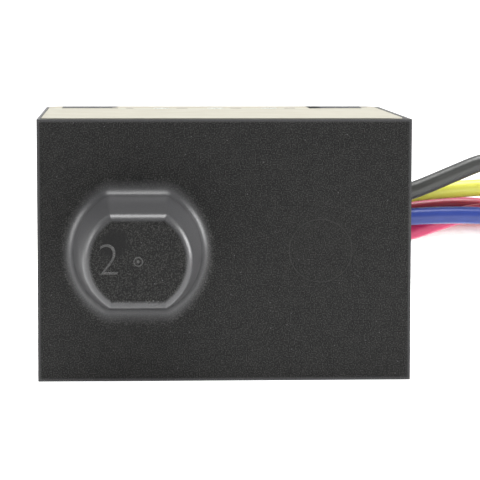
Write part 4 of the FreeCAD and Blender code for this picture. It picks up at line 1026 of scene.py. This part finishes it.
def strand_tree():
    """Geometry Nodes: twisted strands side by side round an axis along +Z."""
    tree, given = node_tree("twisted_strands", {"Strands": 7, "Strand Radius": 0.0004, "Lay Radius": 0.0008,
                                                "Length": 0.009, "Twist": 1.0})
    lay = given["Lay Radius"]
    strand = add_node(tree, "GeometryNodeCurvePrimitiveLine")
    fine = add_node(tree, "GeometryNodeResampleCurve", {"Curve": strand.outputs[0], "Count": 20})
    share = add_node(tree, "GeometryNodeSplineParameter").outputs["Factor"]
    angle = add_node(tree, "ShaderNodeMath", {0: share, 1: given["Twist"]}, operation="MULTIPLY").outputs[0]
    cosine = add_node(tree, "ShaderNodeMath", {0: angle}, operation="COSINE").outputs[0]
    sine = add_node(tree, "ShaderNodeMath", {0: angle}, operation="SINE").outputs[0]
    across = add_node(tree, "ShaderNodeMath", {0: cosine, 1: lay}, operation="MULTIPLY").outputs[0]
    along = add_node(tree, "ShaderNodeMath", {0: sine, 1: lay}, operation="MULTIPLY").outputs[0]
    height = add_node(tree, "ShaderNodeMath", {0: share, 1: given["Length"]}, operation="MULTIPLY").outputs[0]
    spot = add_node(tree, "ShaderNodeCombineXYZ", {"X": across, "Y": along, "Z": height}).outputs[0]
    helix = add_node(tree, "GeometryNodeSetPosition", {"Geometry": fine.outputs[0], "Position": spot})
    ring = add_node(tree, "GeometryNodeCurvePrimitiveCircle", {
        "Resolution": 10, "Radius": given["Strand Radius"]})
    wire = add_node(tree, "GeometryNodeCurveToMesh", {
        "Curve": helix.outputs[0], "Profile Curve": ring.outputs[0], "Fill Caps": True})
    spots = add_node(tree, "GeometryNodePoints", {"Count": given["Strands"]})
    number = add_node(tree, "GeometryNodeInputIndex").outputs[0]
    part = add_node(tree, "ShaderNodeMath", {0: number, 1: given["Strands"]}, operation="DIVIDE").outputs[0]
    turn = add_node(tree, "ShaderNodeMath", {0: part, 1: 2 * math.pi}, operation="MULTIPLY").outputs[0]
    turns = add_node(tree, "ShaderNodeCombineXYZ", {"Z": turn}).outputs[0]
    placed = add_node(tree, "GeometryNodeInstanceOnPoints", {
        "Points": spots.outputs[0], "Instance": wire.outputs[0], "Rotation": turns})
    return finish_tree(tree, placed, given["Finish"])


def make_bare_end(colour, tree):
    """The stripped conductor: seven tinned strands with a right-hand twist."""
    radius, low, turns = COIL_PLACES[colour]
    end = coil_point(radius, low, turns)
    heading = (end - coil_point(radius, low, turns - 0.01)).normalized()
    parts = bmesh.new()
    for strands, lay in ((6, 2 * STRAND_RADIUS), (1, 0.0)):
        values = {"Strands": strands, "Strand Radius": STRAND_RADIUS, "Lay Radius": lay,
                  "Length": BARE_LENGTH, "Twist": STRAND_TWIST, "Finish": SLOT_MATERIALS["tinned_copper"]}
        mesh = grown(tree, "strands", values)
        parts.from_mesh(mesh)
        bpy.data.meshes.remove(mesh)
    turn = heading.to_track_quat("Z", "Y").to_matrix().to_4x4()
    bmesh.ops.transform(parts, matrix=Matrix.Translation(end - heading * 0.3 * MM) @ turn, verts=parts.verts)
    bmesh.ops.recalc_face_normals(parts, faces=parts.faces)
    mesh = mesh_from(parts, f"bare_end_{colour}")
    for polygon in mesh.polygons:
        polygon.use_smooth = True
    piece = new_piece(f"bare_end_{colour}", mesh, "tinned_copper")
    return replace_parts(piece, "stripped_ends")


def make_lead(colour):
    curve = bpy.data.curves.new(f"lead_{colour}_insulation", "CURVE")
    curve.dimensions = "3D"
    curve.resolution_u = 6
    curve.bevel_depth = LEAD_RADIUS
    curve.bevel_resolution = 5
    curve.use_fill_caps = True
    points = lead_points(colour)
    spline = curve.splines.new("NURBS")
    spline.points.add(len(points) - 1)
    for slot, point in zip(spline.points, points):
        slot.co = (*point, 1.0)
    spline.order_u = 3
    spline.use_endpoint_u = True
    slot_name = f"lead_insulation_{colour}"
    curve.materials.append(SLOT_MATERIALS[slot_name])
    piece = new_piece(f"lead_{colour}_insulation", curve, slot_name)
    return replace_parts(piece, f"lead_{colour}", "lead_coil")


# ---- Coil tie -----------------------------------------------------------------------------------

TIE_THICK = 0.5 * MM


def tooth_tree():
    """Geometry Nodes: a row of ratchet teeth along +X."""
    tree, given = node_tree("ratchet_teeth", {"Teeth": 12, "Pitch": 0.001, "Tooth Width": 0.003,
                                              "Tooth Height": 0.0002})
    step = add_node(tree, "ShaderNodeCombineXYZ", {"X": given["Pitch"]}).outputs[0]
    row = add_node(tree, "GeometryNodeMeshLine", {"Count": given["Teeth"], "Offset": step})
    length = add_node(tree, "ShaderNodeMath", {0: given["Pitch"], 1: 0.55}, operation="MULTIPLY").outputs[0]
    size = add_node(tree, "ShaderNodeCombineXYZ", {"X": length, "Y": given["Tooth Width"],
                                                   "Z": given["Tooth Height"]}).outputs[0]
    tooth = add_node(tree, "GeometryNodeMeshCube", {"Size": size})
    placed = add_node(tree, "GeometryNodeInstanceOnPoints", {
        "Points": row.outputs[0], "Instance": tooth.outputs[0]})
    return finish_tree(tree, placed, given["Finish"])


def rounded_frame(y_low, y_high, z_low, z_high, corner, steps=6):
    """Points round an upright rectangle in the YZ plane with rounded corners."""
    points = []
    corners = [(y_high - corner, z_high - corner, 0), (y_low + corner, z_high - corner, 90),
               (y_low + corner, z_low + corner, 180), (y_high - corner, z_low + corner, 270)]
    for y, z, start in corners:
        for index in range(steps + 1):
            angle = math.radians(start + 90 * index / steps)
            points.append((y + corner * math.cos(angle), z + corner * math.sin(angle)))
    return points


def make_tie():
    """A nylon tie: a flat strap round the bundle, a locking head on top and a short toothed tail."""
    x_low, x_high = tie_low.x, tie_high.x
    middle = (x_low + x_high) / 2
    outer = rounded_frame(tie_low.y, tie_high.y, tie_low.z, tie_high.z, 1.6 * MM)
    strap_thick = 0.8 * TIE_THICK
    inner = rounded_frame(tie_low.y + strap_thick, tie_high.y - strap_thick, tie_low.z + strap_thick,
                          tie_high.z - strap_thick, 1.2 * MM)
    edge = 0.15 * MM
    rings = []
    for x, points in ((x_low + edge, outer), (x_high - edge, outer), (x_high, inner), (x_low, inner),
                      (x_low + edge, outer)):
        rings.append([Vector((x, y, z)) for y, z in points])
    strap = loft(rings, False, False)
    bmesh.ops.remove_doubles(strap, verts=strap.verts, dist=1e-7)
    head_y = tie_low.y + 3.6 * MM
    head_half_width, head_half_depth, head_rise = 3.1 * MM, 2.4 * MM, 2.4 * MM
    tail_half_width, tail_rise, sunk = 2.1 * MM, 6.2 * MM, 0.3 * MM
    head = box_shape((middle - head_half_width, head_y - head_half_depth, tie_high.z - sunk),
                     (middle + head_half_width, head_y + head_half_depth, tie_high.z + head_rise))
    bmesh.ops.bevel(head, geom=head.edges[:], offset=0.5 * MM, segments=3, profile=0.5, affect="EDGES")
    tail = box_shape((middle - tail_half_width, head_y - 0.6 * MM, tie_high.z + 2.0 * MM),
                     (middle + tail_half_width, head_y + 0.5 * MM, tie_high.z + tail_rise))
    bmesh.ops.bevel(tail, geom=tail.edges[:], offset=0.3 * MM, segments=2, profile=0.5, affect="EDGES")
    for shape in (head, tail):
        part = mesh_from(shape, "tie_part")
        strap.from_mesh(part)
        bpy.data.meshes.remove(part)
    teeth = grown(tooth_tree(), "teeth", {"Teeth": 6, "Pitch": 0.7 * MM, "Tooth Width": 3.0 * MM,
                                          "Tooth Height": 0.3 * MM, "Finish": SLOT_MATERIALS["tie_strap"]})
    upright = Matrix.Translation((middle, head_y + 0.55 * MM, tie_high.z + head_rise))
    upright = upright @ Matrix.Rotation(-math.pi / 2, 4, "X") @ Matrix.Rotation(-math.pi / 2, 4, "Z")
    teeth.transform(upright)
    strap.from_mesh(teeth)
    bpy.data.meshes.remove(teeth)
    bmesh.ops.recalc_face_normals(strap, faces=strap.faces)
    piece = new_piece("nylon_coil_tie", finish_shading(mesh_from(strap, "nylon_coil_tie"), 40), "tie_strap")
    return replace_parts(piece, "coil_tie")


# ---- Building -----------------------------------------------------------------------------------

make_camera()
make_studio()
make_case()
make_mould_marks()
make_label()
make_printing()
for lens_name in LENSES:
    make_lens(lens_name)
make_bushing()
make_base_screws()
coil_tie = make_tie()
strands = strand_tree()
for lead_colour in LEAD_ROUTES:
    bare_end = make_bare_end(lead_colour, strands)
    lead = make_lead(lead_colour)


# ---- Finishes of the pieces that the frame brings ------------------------------------------------

for part in frame["record"]["subparts"]:
    cad_mesh = nodes[part["node"]].data
    cad_mesh.materials.clear()
    cad_mesh.materials.append(SLOT_MATERIALS[part["material_slot"]])
